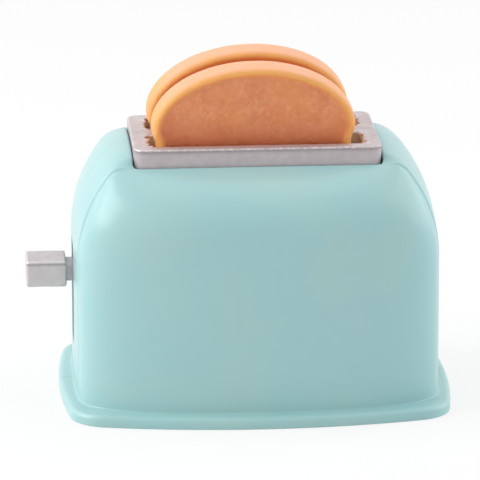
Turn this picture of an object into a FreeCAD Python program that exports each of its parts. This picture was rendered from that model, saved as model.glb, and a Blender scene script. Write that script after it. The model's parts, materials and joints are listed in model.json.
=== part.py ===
import FreeCAD, Part
import math
import os

V = FreeCAD.Vector

# Frame: X runs along the bread slots and the lever is on the -X end.
# Y runs from the front face to the rear face, Z is up.
# The origin is the middle of the underside. All sizes are millimetres.

# Base flange, in two halves, one on each shell
flange_end_reach = 2.6
flange_face_reach = 4.0
flange_height = 2.8
flange_face_bow = 160.0
flange_end_bow = 170.0
flange_corner = 9.4
flange_edge_round = 1.3

# Body above the flange
body_length = 84.8
body_depth = 62.0
body_height = 59.5
shoulder_rise = 14.4
shoulder_radius = 34.5
crown_radius = 10.5
band_past_plate = 0.2
band_crown = 1.1
step_low = 0.12
step_high = 0.4
step_rise = 14.0
face_drop = 2.0
face_round_height = 14.3
face_round_depth = 21.0
pillow_top_share = 0.993
ceiling_share = 0.955
corner_power = 2.6
section_steps = 16
section_flat_inset = 0.4
section_least_reach = 0.6
loft_turns = (0, 15, 30, 45, 60, 73)
wall = 1.8

# Silver plate with the two bread slots
plate_end_inset = 14.4
plate_depth = 32.8
plate_stand = 1.3
plate_block_height = 6.6
plate_corner = 1.7
plate_edge_round = 0.6
plate_gap_x = 0.55
plate_gap_y = 0.35
opening_drop = 6.0
slot_end_rim = 2.8
slot_width = 10.4
slot_pitch = 16.4
slot_corner = 1.2
skirt_wall = 1.4
tab_drop = 9.4
tab_thickness = 1.8
tab_margin = 0.3
tab_width = 25.0

# Screws, all of one thread size
screw_radius = 1.0
screw_head_radius = 1.9
screw_head_height = 1.1
screw_boss_radius = 2.5
screw_hole_past_tip = 0.4
recess_width = 0.55
recess_length = 2.3
recess_depth = 0.6
hole_clearance = 0.2
small_screw_radius = 0.7
small_head_radius = 1.3
small_head_height = 0.8
small_slot_width = 0.4
small_slot_depth = 0.35
small_hole_gap = 0.1

plate_screw_reach = 2.8
plate_screw_y = 9.0
plate_screw_length = 5.8
plate_boss_radius = 2.3
plate_boss_into_roof = 0.6

# Cover that closes the underside
base_thickness = 2.2
base_inset = 0.9
base_gap = 0.25
base_screw_from_end = 9.0
base_screw_from_face = 12.2
base_screw_length = 8.0
base_screw_sink = 0.1
catch_screw_floor = 0.5
base_boss_height = 9.6
rib_width = 1.6

# Guide rods, springs and stops
rod_reach = 2.6
rod_radius = 1.5
rod_end_gap = 0.2
rod_socket_radius = 3.2
rod_socket_height = 3.6
rod_socket_depth = 5.0
rod_fit = 0.05
rod_chamfer = 0.3
bush_radius = 2.6
bush_collar_radius = 3.2
bush_collar_height = 0.5
hub_radius = 4.0
hub_height = 7.0
hub_drop = 1.5
stop_gap = 0.1
washer_radius = 3.0
washer_thickness = 1.2
spring_wire = 0.5
spring_radius = 2.45
spring_turns = 9
spring_closed_turns = 1
spring_closed_pitch = 0.95
spring_seat_gap = 0.02

# Lever, knob and carriage
travel_room = 4.7
tray_drop = 25.4
tray_floor = 2.0
tray_wall = 1.4
tray_lip = 5.0
tray_past_slot = 0.8
tray_slice_gap = 0.35
tray_corner = 1.5
trough_corner = 0.8
arm_pad_width = 12.0
arm_pad_thickness = 3.0
arm_pad_reach = 4.4
lever_plate_thickness = 1.8
lever_drop = 4.7
stem_height = 3.8
stem_width = 7.4
stem_round = 0.4
stem_into_knob = 4.0
arm_screw_y = 4.0
arm_screw_length = 4.6
arm_screw_hole = 5.0
knob_length = 9.2
knob_width = 9.9
knob_height = 6.1
knob_gap = 0.8
knob_round = 0.8
knob_rise = 1.25
lever_slot_width = 8.2
lever_slot_low_gap = 1.4
lever_slot_high_gap = 4.9
lever_slot_corner = 1.0

# Catch leaf that clicks into the lever's groove at the bottom of the stroke
leaf_thickness = 0.4
leaf_width = 5.0
leaf_foot = 3.6
leaf_nose = 0.6
leaf_nose_gap = 0.15
leaf_above_nose = 1.6
catch_screw_length = 1.6
lever_tail = 6.0
groove_depth = 0.5
groove_rise = 2.2

# Bread slices
slice_end_gap = 2.2
slice_side_gap = 0.5
slice_waist_step = 1.0
slice_height = 42.7
slice_dome = 13.9
slice_waist_drop = 3.2
slice_shift = -1.2
slice_foot_round = 3.0
slice_edge_round = 1.2

# Sizes and places that follow from those above
flange_length = body_length + 2 * flange_end_reach
flange_depth = body_depth + 2 * flange_face_reach
shoulder_start = body_height - crown_radius - shoulder_rise
face_round_start = body_height - face_drop - face_round_height
ceiling = face_round_start + (face_round_height - wall) * ceiling_share
plate_length = body_length - 2 * plate_end_inset
plate_top = body_height + plate_stand
plate_bottom = plate_top - plate_block_height
band_width = plate_depth + 2 * band_past_plate
opening_length = plate_length + 2 * plate_gap_x
opening_depth = plate_depth + 2 * plate_gap_y
slot_length = plate_length - 2 * slot_end_rim
tab_top = plate_top - tab_drop
tab_bottom = tab_top - tab_thickness
plate_screw_x = plate_length / 2 + plate_screw_reach
base_screw_x = body_length / 2 - base_screw_from_end
base_screw_y = body_depth / 2 - base_screw_from_face
rod_x = plate_length / 2 + rod_reach
tray_top = plate_top - tray_drop
tray_bottom = tray_top - tray_floor
tray_length = slot_length + 2 * tray_past_slot
hub_bottom = tray_bottom - hub_drop
bush_bottom = hub_bottom - bush_collar_height
bush_top = hub_bottom + hub_height + bush_collar_height
washer_bottom = bush_top + stop_gap
socket_bottom = washer_bottom + washer_thickness
lever_top = tray_top - lever_drop
stem_bottom = lever_top - stem_height
lever_plate_low = stem_bottom - lever_tail
lever_plate_high = tray_bottom + arm_pad_thickness
arm_pad_end = rod_x + arm_pad_reach
lever_plate_x = -arm_pad_end - lever_plate_thickness
travel = lever_plate_low - base_thickness - travel_room
slot_low = stem_bottom - travel - lever_slot_low_gap
slot_high = lever_top + lever_slot_high_gap
slice_width = slot_length - 2 * slice_end_gap
slice_waist = slice_width - 2 * slice_waist_step
slice_thickness = slot_width - 2 * slice_side_gap
slice_top = tray_top + slice_height

os.makedirs("parts", exist_ok=True)


def box(x0, x1, y0, y1, z0, z1):
    return Part.makeBox(x1 - x0, y1 - y0, z1 - z0, V(x0, y0, z0))


def rod(x, y, z0, z1, radius):
    return Part.makeCylinder(radius, z1 - z0, V(x, y, z0), V(0, 0, 1))


def rounded_box(x_size, y_size, z0, z1, corner, x=0.0, y=0.0):
    block = box(x - x_size / 2, x + x_size / 2, y - y_size / 2, y + y_size / 2, z0, z1)
    upright = [edge for edge in block.Edges if abs(edge.tangentAt(edge.FirstParameter).z) > 0.9]
    return block.makeFillet(corner, upright)


def fused(*shapes):
    result = shapes[0]
    for shape in shapes[1:]:
        result = result.fuse(shape)
    return result.removeSplitter()


def cut(shape, *tools):
    for tool in tools:
        shape = shape.cut(tool)
    return shape


def save(name, shape):
    solids = shape.Solids
    result = solids[0] if len(solids) == 1 else Part.makeCompound(solids)
    result.exportStep("parts/" + name + ".step")
    print(name, len(solids), "solids", round(result.Volume, 1), "mm3", "valid", result.isValid())


def arch_half_length(z, inset):
    """Half length at Y 0 of the arch that stands on the body's ends, inset all round."""
    flat = body_length / 2 - inset
    if z <= shoulder_start:
        return flat
    big = shoulder_radius - inset
    big_x = body_length / 2 - shoulder_radius
    sine = shoulder_rise / (shoulder_radius - crown_radius)
    small = crown_radius - inset
    small_x = big_x + (shoulder_radius - crown_radius) * math.sqrt(1 - sine * sine)
    small_z = shoulder_start + shoulder_rise
    if z < shoulder_start + big * sine:
        return big_x + math.sqrt(big * big - (z - shoulder_start) ** 2)
    return small_x + math.sqrt(max(small * small - (z - small_z) ** 2, 0.0))


def face_half_depth(z, inset):
    """Half depth of the pillowed faces: upright, then a quarter ellipse over the top."""
    if z <= face_round_start:
        return body_depth / 2 - inset
    middle = body_depth / 2 - face_round_depth
    share = (z - face_round_start) / (face_round_height - inset)
    return middle + (face_round_depth - inset) * math.sqrt(max(1 - share * share, 0.0))


def step_at(z):
    """How far the face's edge lies below the end band: least on the upright part."""
    share = min(max((z - shoulder_start) / step_rise, 0.0), 1.0)
    smooth = share * share * (3 - 2 * share)
    return step_low + (step_high - step_low) * smooth


def body_section(z, inset):
    """Closed outline of both faces at one height, with rounded corners by a power curve."""
    half = arch_half_length(z, band_crown + step_at(z) + inset)
    depth = face_half_depth(z, inset)
    flat = min(band_width / 2 - inset * section_flat_inset, depth - section_least_reach)
    reach = depth - flat
    curves = []
    for side in (-1, 1):
        points = []
        for i in range(section_steps + 1):
            angle = math.pi * i / section_steps
            c = math.cos(angle)
            s = math.sin(angle)
            x = math.copysign(abs(c) ** (2 / corner_power), c) * half
            y = s ** (2 / corner_power) * reach if 0 < i < section_steps else 0.0
            points.append(V(-side * x, side * (flat + y), z))
        curve = Part.BSplineCurve()
        curve.interpolate(Points=points)
        curves.append(curve.toShape())
    front, rear = curves
    right = Part.makeLine(front.valueAt(front.LastParameter), rear.valueAt(rear.FirstParameter))
    left = Part.makeLine(rear.valueAt(rear.LastParameter), front.valueAt(front.FirstParameter))
    return Part.Wire([front, right, rear, left])


def body_slab(inset, low, high):
    """Upright slab with the outline of the body's lower part."""
    face = Part.Face(body_section(shoulder_start, inset))
    face.translate(V(0, 0, low - shoulder_start))
    return face.extrude(V(0, 0, high - low))


def body_block(low, high, inset):
    """Upright block from low to the shoulders, then a loft of sections up to high."""
    upright = body_slab(inset, low, shoulder_start)
    round_height = face_round_height - inset
    levels = [shoulder_start, (shoulder_start + face_round_start) / 2]
    levels += [face_round_start + round_height * math.sin(math.radians(turn)) for turn in loft_turns]
    levels = [z for z in levels if z < high - 0.3] + [high]
    domed = Part.makeLoft([body_section(z, inset) for z in levels], True, False, False, 3)
    return upright.fuse(domed)


def arch_wire(y, inset, low):
    """Arch in an upright plane across Y: two upright lines, four arcs and a flat top."""
    big_x = body_length / 2 - shoulder_radius
    spread = shoulder_radius - crown_radius
    angle = math.asin(shoulder_rise / spread)
    small_x = big_x + spread * math.cos(angle)
    small_z = shoulder_start + shoulder_rise
    big = shoulder_radius - inset
    small = crown_radius - inset

    def big_point(side, turn):
        return V(side * (big_x + big * math.cos(turn)), y, shoulder_start + big * math.sin(turn))

    def small_point(side, turn):
        return V(side * (small_x + small * math.cos(turn)), y, small_z + small * math.sin(turn))

    quarter = math.pi / 2
    middle = (angle + quarter) / 2
    edges = [Part.makeLine(V(-big_x - big, y, low), V(big_x + big, y, low))]
    edges.append(Part.makeLine(V(big_x + big, y, low), big_point(1, 0)))
    edges.append(Part.Arc(big_point(1, 0), big_point(1, angle / 2), big_point(1, angle)).toShape())
    edges.append(Part.Arc(small_point(1, angle), small_point(1, middle), small_point(1, quarter)).toShape())
    edges.append(Part.makeLine(small_point(1, quarter), small_point(-1, quarter)))
    edges.append(Part.Arc(small_point(-1, quarter), small_point(-1, middle),
                          small_point(-1, angle)).toShape())
    edges.append(Part.Arc(big_point(-1, angle), big_point(-1, angle / 2), big_point(-1, 0)).toShape())
    edges.append(Part.makeLine(big_point(-1, 0), V(-big_x - big, y, low)))
    return Part.Wire(edges)


def bowed_outline(length, depth, face_bow, end_bow, corner, z):
    """Rectangle whose four sides are long arcs, with tangent corner arcs."""
    half = length / 2
    deep = depth / 2
    low = 0.2 * half
    high = half - corner
    for _ in range(60):
        x = (low + high) / 2
        y = deep - face_bow + math.sqrt((face_bow - corner) ** 2 - x * x)
        if math.hypot(x - half + end_bow, y) > end_bow - corner:
            high = x
        else:
            low = x
    face_turn = math.atan2(y - deep + face_bow, x)
    end_turn = math.atan2(y, x - half + end_bow)

    def corner_point(sx, sy, turn):
        return V(sx * (x + corner * math.cos(turn)), sy * (y + corner * math.sin(turn)), z)

    edges = []
    middle = (face_turn + end_turn) / 2
    order = ((1, -1), (1, 1), (-1, 1), (-1, -1))
    for k, (sx, sy) in enumerate(order):
        nx, ny = order[(k + 1) % 4]
        turns = (face_turn, middle, end_turn) if sx == -sy else (end_turn, middle, face_turn)
        a, b, c = [corner_point(sx, sy, turn) for turn in turns]
        edges.append(Part.Arc(a, b, c).toShape())
        if sx == nx:
            side = Part.Arc(c, V(sx * half, 0, z), corner_point(nx, ny, end_turn))
        else:
            side = Part.Arc(c, V(0, sy * deep, z), corner_point(nx, ny, face_turn))
        edges.append(side.toShape())
    return Part.Wire(edges)


def bowed_slab(inset, z0, z1):
    outline = bowed_outline(flange_length - 2 * inset, flange_depth - 2 * inset,
                            flange_face_bow - inset, flange_end_bow - inset,
                            flange_corner - inset, z0)
    return Part.Face(outline).extrude(V(0, 0, z1 - z0))


def cross_recess(radius_depth):
    """Cross cut in a screw head, at the origin, opening towards -Z."""
    half = recess_length / 2
    narrow = recess_width / 2
    return fused(box(-half, half, -narrow, narrow, -0.1, radius_depth),
                 box(-narrow, narrow, -half, half, -0.1, radius_depth))


def pan_screw(length):
    """Screw that points up: its head is below Z 0 and its shank rises from it."""
    head = rod(0, 0, -screw_head_height, 0, screw_head_radius)
    rim = [edge for edge in head.Edges if edge.BoundBox.ZMax < -screw_head_height / 2 and edge.isClosed()]
    head = head.makeFillet(screw_head_height * 0.5, rim)
    shank = rod(0, 0, 0, length, screw_radius)
    point = [edge for edge in shank.Edges if edge.BoundBox.ZMin > length * 0.9 and edge.isClosed()]
    shank = shank.makeChamfer(screw_radius * 0.4, point)
    recess = cross_recess(recess_depth)
    recess.translate(V(0, 0, -screw_head_height))
    return cut(fused(head, shank), recess)


def flat_screw(length):
    """Countersunk screw that points up, with its flat face at Z 0."""
    head = Part.makeCone(screw_head_radius, screw_radius, screw_head_height)
    shank = rod(0, 0, 0, length, screw_radius)
    return cut(fused(head, shank), cross_recess(recess_depth))


def countersink(x, y):
    """Clear hole through the cover for a flat screw that sits just below the underside."""
    z = base_screw_sink
    gap = hole_clearance / 2
    head = Part.makeCone(screw_head_radius + gap, screw_radius + gap, screw_head_height,
                         V(x, y, z), V(0, 0, 1))
    mouth = rod(x, y, -1, z, screw_head_radius + gap)
    return fused(head, mouth, rod(x, y, z, z + 2 * base_thickness, screw_radius + gap))


def shell_solid():
    """Both shells in one piece, hollow, with bosses, before they are split at Y 0."""
    pillow = body_block(0.0, face_round_start + face_round_height * pillow_top_share, 0.0)
    half_band = band_width / 2
    band = Part.makeLoft([arch_wire(-half_band, band_crown, 0.0), arch_wire(0.0, 0.0, 0.0),
                          arch_wire(half_band, band_crown, 0.0)], True, False)
    flange = bowed_slab(0.0, 0.0, flange_height)
    top_rim = [edge for edge in flange.Edges if edge.BoundBox.ZMin > flange_height - 0.01]
    flange = flange.makeFillet(flange_edge_round, top_rim)
    outer = fused(pillow.fuse(band), flange)

    cavity = body_block(base_thickness, ceiling, wall)
    opening = rounded_box(opening_length, opening_depth, plate_bottom - opening_drop,
                          plate_top + 1, plate_corner)
    recess = body_slab(base_inset, -0.1, base_thickness)
    shell = cut(outer, cavity, opening, recess)

    bosses = []
    holes = []
    base_hole_top = base_screw_sink + base_screw_length + screw_hole_past_tip
    for sx in (-1, 1):
        for sy in (-1, 1):
            x = sx * base_screw_x
            y = sy * base_screw_y
            bosses.append(rod(x, y, base_thickness, base_thickness + base_boss_height, screw_boss_radius))
            y0, y1 = sorted((y, sy * rib_end()))
            bosses.append(box(x - rib_width / 2, x + rib_width / 2, y0, y1, base_thickness,
                              base_thickness + base_boss_height))
            holes.append(rod(x, y, base_thickness - 0.1, base_hole_top, screw_radius))
            px = sx * plate_screw_x
            py = sy * plate_screw_y
            bosses.append(rod(px, py, tab_top, ceiling + plate_boss_into_roof, plate_boss_radius))
            holes.append(rod(px, py, tab_top - 0.1, tab_bottom + plate_screw_length + screw_hole_past_tip,
                             screw_radius))
    shell = fused(shell, *bosses)
    lever_slot = rounded_slot_x()
    return cut(shell, *holes, lever_slot)


def rib_end():
    """Half depth of the middle of the faces' wall at the base bosses."""
    half = arch_half_length(0.0, band_crown + step_low + wall / 2)
    flat = band_width / 2
    share = 1 - (base_screw_x / half) ** corner_power
    return flat + (body_depth / 2 - wall / 2 - flat) * share ** (1 / corner_power)


def rounded_slot_x():
    """Upright slot through the -X end, for the stem's travel."""
    block = box(-body_length / 2 - 1, -body_length / 2 + wall + 3, -lever_slot_width / 2,
                lever_slot_width / 2, slot_low, slot_high)
    along = [edge for edge in block.Edges if abs(edge.tangentAt(edge.FirstParameter).x) > 0.9]
    return block.makeFillet(lever_slot_corner, along)


def make_shells():
    shell = shell_solid()
    far = flange_length
    rear = shell.common(box(-far, far, 0, far, -1, 2 * far))
    front = shell.common(box(-far, far, -far, 0, -1, 2 * far))
    save("front_shell", front)
    save("rear_shell", rear)


def make_slot_plate():
    block = rounded_box(plate_length, plate_depth, plate_bottom, plate_top, plate_corner)
    top_rim = [edge for edge in block.Edges if edge.BoundBox.ZMin > plate_top - 0.01]
    block = block.makeFillet(plate_edge_round, top_rim)
    pieces = [block]
    wells = []
    for sy in (-1, 1):
        y = sy * slot_pitch / 2
        pieces.append(rounded_box(slot_length + 2 * skirt_wall, slot_width + 2 * skirt_wall,
                                  tab_bottom, plate_bottom, slot_corner + skirt_wall, 0, y))
        wells.append(rounded_box(slot_length, slot_width, tab_bottom - 1, plate_top + 1, slot_corner, 0, y))
    for sx in (-1, 1):
        x_in = sx * (slot_length / 2 + skirt_wall / 2)
        x_out = sx * (plate_screw_x + screw_head_radius + tab_margin)
        x0, x1 = sorted((x_in, x_out))
        pieces.append(box(x0, x1, -tab_width / 2, tab_width / 2, tab_bottom, tab_top))
        pieces.append(rod(sx * rod_x, 0, socket_bottom, tab_bottom, rod_socket_radius))
    plate = cut(fused(*pieces), *wells)
    holes = []
    for sx in (-1, 1):
        holes.append(rod(sx * rod_x, 0, socket_bottom - 1, tab_bottom, rod_radius + rod_fit))
        for sy in (-1, 1):
            holes.append(rod(sx * plate_screw_x, sy * plate_screw_y, tab_bottom - 1, tab_top + 1,
                             screw_radius + hole_clearance / 2))
    save("slot_plate", cut(plate, *holes))


def make_base():
    plate = body_slab(base_inset + base_gap, 0.0, base_thickness)
    top = base_thickness + rod_socket_height
    sockets = [rod(sx * rod_x, 0, base_thickness, top, rod_socket_radius) for sx in (-1, 1)]
    plate = fused(plate, *sockets)
    holes = []
    for sx in (-1, 1):
        holes.append(rod(sx * rod_x, 0, top - rod_socket_depth, top + 1, rod_radius))
        for sy in (-1, 1):
            holes.append(countersink(sx * base_screw_x, sy * base_screw_y))
    screw_x = leaf_x() + leaf_foot / 2
    holes.append(rod(screw_x, 0, catch_screw_floor, base_thickness + 1, small_screw_radius))
    save("base_plate", cut(plate, *holes))


def make_rods():
    top = base_thickness + rod_socket_height
    for name, sx in (("left", -1), ("right", 1)):
        shaft = rod(sx * rod_x, 0, top - rod_socket_depth, tab_bottom - rod_end_gap, rod_radius)
        ends = [edge for edge in shaft.Edges if edge.isClosed()]
        save(name + "_guide_rod", shaft.makeChamfer(rod_chamfer, ends))


def ring(x, z0, z1, outer, inner):
    return rod(x, 0, z0, z1, outer).cut(rod(x, 0, z0 - 1, z1 + 1, inner))


def make_stops():
    for name, sx in (("left", -1), ("right", 1)):
        save(name + "_stop_washer", ring(sx * rod_x, washer_bottom, socket_bottom, washer_radius,
                                         rod_radius + rod_fit))


def make_bushes():
    for name, sx in (("left", -1), ("right", 1)):
        sleeve = rod(sx * rod_x, 0, bush_bottom, bush_top, bush_radius)
        collar = rod(sx * rod_x, 0, bush_bottom, hub_bottom, bush_collar_radius)
        bore = rod(sx * rod_x, 0, bush_bottom - 1, bush_top + 1, rod_radius + rod_fit)
        save(name + "_bushing", cut(fused(sleeve, collar), bore))


def arc_from(start, tangent_point, end):
    """Arc that leaves start along the line to tangent_point and reaches end."""
    weight = start.distanceToPoint(end) / 2 / start.distanceToPoint(tangent_point)
    middle = (start + tangent_point * (2 * weight) + end) * (1 / (2 + 2 * weight))
    return Part.Arc(start, middle, end).toShape()


def coil_path(radius, height, turns, closed_turns, closed_pitch):
    """Coil of quarter turns, each of two tangent arcs, with closer turns at both ends."""
    def rise(turn):
        open_turns = turns - 2 * closed_turns
        pitch = (height - 2 * closed_turns * closed_pitch) / open_turns
        if turn <= closed_turns:
            return closed_pitch * turn
        if turn >= turns - closed_turns:
            return height - closed_pitch * (turns - turn)
        return closed_pitch * closed_turns + pitch * (turn - closed_turns)

    def spot(turn):
        angle = 2 * math.pi * turn
        return V(radius * math.cos(angle), radius * math.sin(angle), rise(turn))

    def heading(turn):
        small = 0.01
        low = max(turn - small, 0.0)
        high = min(turn + small, turns)
        slope = (rise(high) - rise(low)) / (2 * math.pi * (high - low))
        angle = 2 * math.pi * turn
        direction = V(-radius * math.sin(angle), radius * math.cos(angle), slope)
        return direction.normalize()

    edges = []
    for quarter in range(4 * turns):
        p0 = spot(quarter / 4)
        p1 = spot((quarter + 1) / 4)
        t0 = heading(quarter / 4)
        t1 = heading((quarter + 1) / 4)
        chord = p1 - p0
        across = chord.dot(t0 + t1)
        bend = 1 - t0.dot(t1)
        reach = (-across + math.sqrt(across * across + 2 * bend * chord.dot(chord))) / (2 * bend)
        q0 = p0 + t0 * reach
        q1 = p1 - t1 * reach
        joint = (q0 + q1) * 0.5
        edges.append(arc_from(p0, q0, joint))
        edges.append(arc_from(joint, q1, p1))
    return Part.Wire(edges), heading(0)


def coil_gap(path, wire, turns):
    """Least gap between neighbouring turns, measured on points of the path."""
    points = path.discretize(Number=turns * 48 + 1)
    least = 1e9
    for i, point in enumerate(points):
        for other in points[i + 36:i + 60]:
            least = min(least, point.distanceToPoint(other))
    return least - wire


def make_springs():
    low = base_thickness + rod_socket_height + spring_wire / 2 + spring_seat_gap
    high = bush_bottom - spring_wire / 2 - spring_seat_gap
    path, heading = coil_path(spring_radius, high - low, spring_turns, spring_closed_turns,
                              spring_closed_pitch)
    print("spring gap to itself", round(coil_gap(path, spring_wire, spring_turns), 2))
    start = path.Edges[0].valueAt(path.Edges[0].FirstParameter)
    section = Part.Wire(Part.makeCircle(spring_wire / 2, start, heading))
    coil = Part.Solid(path.makePipeShell([section], True, False))
    for name, sx in (("left", -1), ("right", 1)):
        spring = coil.copy()
        spring.translate(V(sx * rod_x, 0, low))
        save(name + "_spring", spring)


def make_tray():
    trough = slice_thickness + 2 * tray_slice_gap
    depth = slot_pitch + trough + 2 * tray_wall
    body = rounded_box(tray_length, depth, tray_bottom, tray_top + tray_lip, tray_corner)
    hollows = []
    for sy in (-1, 1):
        y = sy * slot_pitch / 2
        hollows.append(rounded_box(tray_length - 2 * tray_wall, trough, tray_top, tray_top + tray_lip + 1,
                                   trough_corner, 0, y))
    middle = slot_pitch - trough - 2 * tray_wall
    hollows.append(box(-tray_length / 2 + tray_wall, tray_length / 2 - tray_wall, -middle / 2, middle / 2,
                       tray_top, tray_top + tray_lip + 1))
    body = cut(body, *hollows)
    arms = []
    bores = []
    for sx in (-1, 1):
        x_in = sx * (tray_length / 2 - tray_wall / 2)
        x_out = sx * (arm_pad_end if sx < 0 else rod_x)
        x0, x1 = sorted((x_in, x_out))
        arms.append(box(x0, x1, -arm_pad_width / 2, arm_pad_width / 2, tray_bottom,
                        tray_bottom + arm_pad_thickness))
        arms.append(rod(sx * rod_x, 0, hub_bottom, hub_bottom + hub_height, hub_radius))
        bores.append(rod(sx * rod_x, 0, hub_bottom - 1, hub_bottom + hub_height + 1, bush_radius))
    tray = cut(fused(body, *arms), *bores)
    holes = []
    screw_z = tray_bottom + arm_pad_thickness / 2
    for sy in (-1, 1):
        holes.append(Part.makeCylinder(small_screw_radius, arm_screw_hole,
                                       V(-arm_pad_end, sy * arm_screw_y, screw_z),
                                       V(1, 0, 0)))
    save("bread_tray", cut(tray, *holes))


def make_lever():
    knob_in = -body_length / 2 - knob_gap
    stem = box(knob_in - stem_into_knob, -arm_pad_end, -stem_width / 2, stem_width / 2,
               stem_bottom, lever_top)
    along = [edge for edge in stem.Edges if abs(edge.tangentAt(edge.FirstParameter).x) > 0.9]
    stem = stem.makeFillet(stem_round, along)
    plate = box(lever_plate_x, -arm_pad_end, -arm_pad_width / 2, arm_pad_width / 2,
                lever_plate_low, lever_plate_high)
    groove_z = lever_plate_low + groove_rise
    groove = Part.makeCylinder(leaf_nose + leaf_nose_gap, arm_pad_width + 2,
                               V(lever_plate_x - leaf_nose - leaf_nose_gap + groove_depth,
                                 -arm_pad_width / 2 - 1, groove_z), V(0, 1, 0))
    arm = cut(fused(stem, plate), groove)
    screw_z = tray_bottom + arm_pad_thickness / 2
    holes = []
    for sy in (-1, 1):
        holes.append(Part.makeCylinder(small_screw_radius + small_hole_gap, lever_plate_thickness + 2,
                                       V(lever_plate_x - 1, sy * arm_screw_y, screw_z), V(1, 0, 0)))
    save("lever_arm", cut(arm, *holes))

    knob_out = knob_in - knob_length
    knob_top = lever_top + knob_rise
    knob = box(knob_out, knob_in, -knob_width / 2, knob_width / 2, knob_top - knob_height, knob_top)
    knob = knob.makeFillet(knob_round, knob.Edges)
    pocket = box(knob_in - stem_into_knob, knob_in + 1, -stem_width / 2, stem_width / 2,
                 stem_bottom, lever_top)
    save("lever_knob", cut(knob, pocket))

    screws = []
    for sy in (-1, 1):
        screw = small_screw(arm_screw_length)
        screw.rotate(V(0, 0, 0), V(0, 1, 0), 90)
        screw.translate(V(lever_plate_x, sy * arm_screw_y, screw_z))
        screws.append(screw)
    save("arm_screws", Part.makeCompound(screws))


def small_screw(length):
    """Smaller pan screw, pointing up from the seat at Z 0."""
    head = rod(0, 0, -small_head_height, 0, small_head_radius)
    shank = rod(0, 0, 0, length, small_screw_radius)
    half = small_slot_width / 2
    slot = box(-2, 2, -half, half, -1, small_slot_depth - small_head_height)
    return cut(fused(head, shank), slot)


def leaf_x():
    """Face of the catch leaf that looks at the wall."""
    return lever_plate_x - leaf_nose_gap - leaf_nose - leaf_thickness


def make_catch():
    nose_z = lever_plate_low + groove_rise - travel
    x0 = leaf_x()
    top = nose_z + leaf_above_nose
    half = leaf_width / 2
    strip = box(x0, x0 + leaf_thickness, -half, half, base_thickness, top)
    foot = box(x0, x0 + leaf_foot, -half, half, base_thickness, base_thickness + leaf_thickness)
    nose = Part.makeCylinder(leaf_nose, leaf_width, V(x0 + leaf_thickness, -half, nose_z), V(0, 1, 0))
    nose = nose.common(box(x0 + leaf_thickness / 2, x0 + 3, -half, half, nose_z - 2, nose_z + 2))
    leaf = fused(strip, foot, nose)
    screw_x = x0 + leaf_foot / 2
    hole = rod(screw_x, 0, base_thickness - 1, base_thickness + 2, small_screw_radius + small_hole_gap)
    save("catch_leaf", cut(leaf, hole))
    screw = small_screw(catch_screw_length)
    screw.rotate(V(0, 0, 0), V(1, 0, 0), 180)
    screw.translate(V(screw_x, 0, base_thickness + leaf_thickness))
    save("catch_screw", screw)


def make_screws():
    under = []
    upper = []
    for sx in (-1, 1):
        for sy in (-1, 1):
            screw = flat_screw(base_screw_length)
            screw.translate(V(sx * base_screw_x, sy * base_screw_y, base_screw_sink))
            under.append(screw)
            screw = pan_screw(plate_screw_length)
            screw.translate(V(sx * plate_screw_x, sy * plate_screw_y, tab_bottom))
            upper.append(screw)
    save("base_screws", Part.makeCompound(under))
    save("plate_screws", Part.makeCompound(upper))


def slice_outline(y):
    """Slice seen from the front: half an ellipse on straight sides, drawn in below it."""
    wide = slice_width / 2
    waist = slice_waist / 2
    shoulder = slice_top - slice_dome
    x = slice_shift
    low = tray_top
    r = slice_foot_round
    turn = FreeCAD.Rotation(V(1, 0, 0), 90)
    place = FreeCAD.Placement(V(x, y, shoulder), turn, V(0, 0, 0))
    dome = Part.Ellipse(V(0, 0, 0), wide, slice_dome).toShape(0, math.pi)
    dome.Placement = place
    edges = [dome]
    for side in (-1, 1):
        neck = Part.BSplineCurve()
        ends = [V(x + side * wide, y, shoulder), V(x + side * waist, y, shoulder - slice_waist_drop)]
        neck.interpolate(Points=ends, InitialTangent=V(0, 0, -1), FinalTangent=V(0, 0, -1))
        edges.append(neck.toShape())
        edges.append(Part.makeLine(ends[1], V(x + side * waist, y, low + r)))
        spot = r * (1 - math.sqrt(0.5))
        edges.append(Part.Arc(V(x + side * waist, y, low + r), V(x + side * (waist - spot), y, low + spot),
                              V(x + side * (waist - r), y, low)).toShape())
    edges.append(Part.makeLine(V(x - waist + r, y, low), V(x + waist - r, y, low)))
    return Part.Wire(Part.__sortEdges__(edges))


def make_slices():
    for name, sy in (("front", -1), ("rear", 1)):
        y = sy * slot_pitch / 2
        solid = Part.Face(slice_outline(y - slice_thickness / 2)).extrude(V(0, slice_thickness, 0))
        rims = []
        for edge in solid.Edges:
            if edge.BoundBox.YLength < 0.01:
                rims.append(edge)
        save(name + "_slice", solid.makeFillet(slice_edge_round, rims))


make_shells()
make_slot_plate()
make_base()
make_rods()
make_stops()
make_bushes()
make_springs()
make_tray()
make_lever()
make_catch()
make_screws()
make_slices()
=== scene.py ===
"""Looks of a doll-size toy toaster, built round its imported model.

The sizes of the pieces are written in millimetres. Those of finishes and of the studio are metres.
"""

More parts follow.
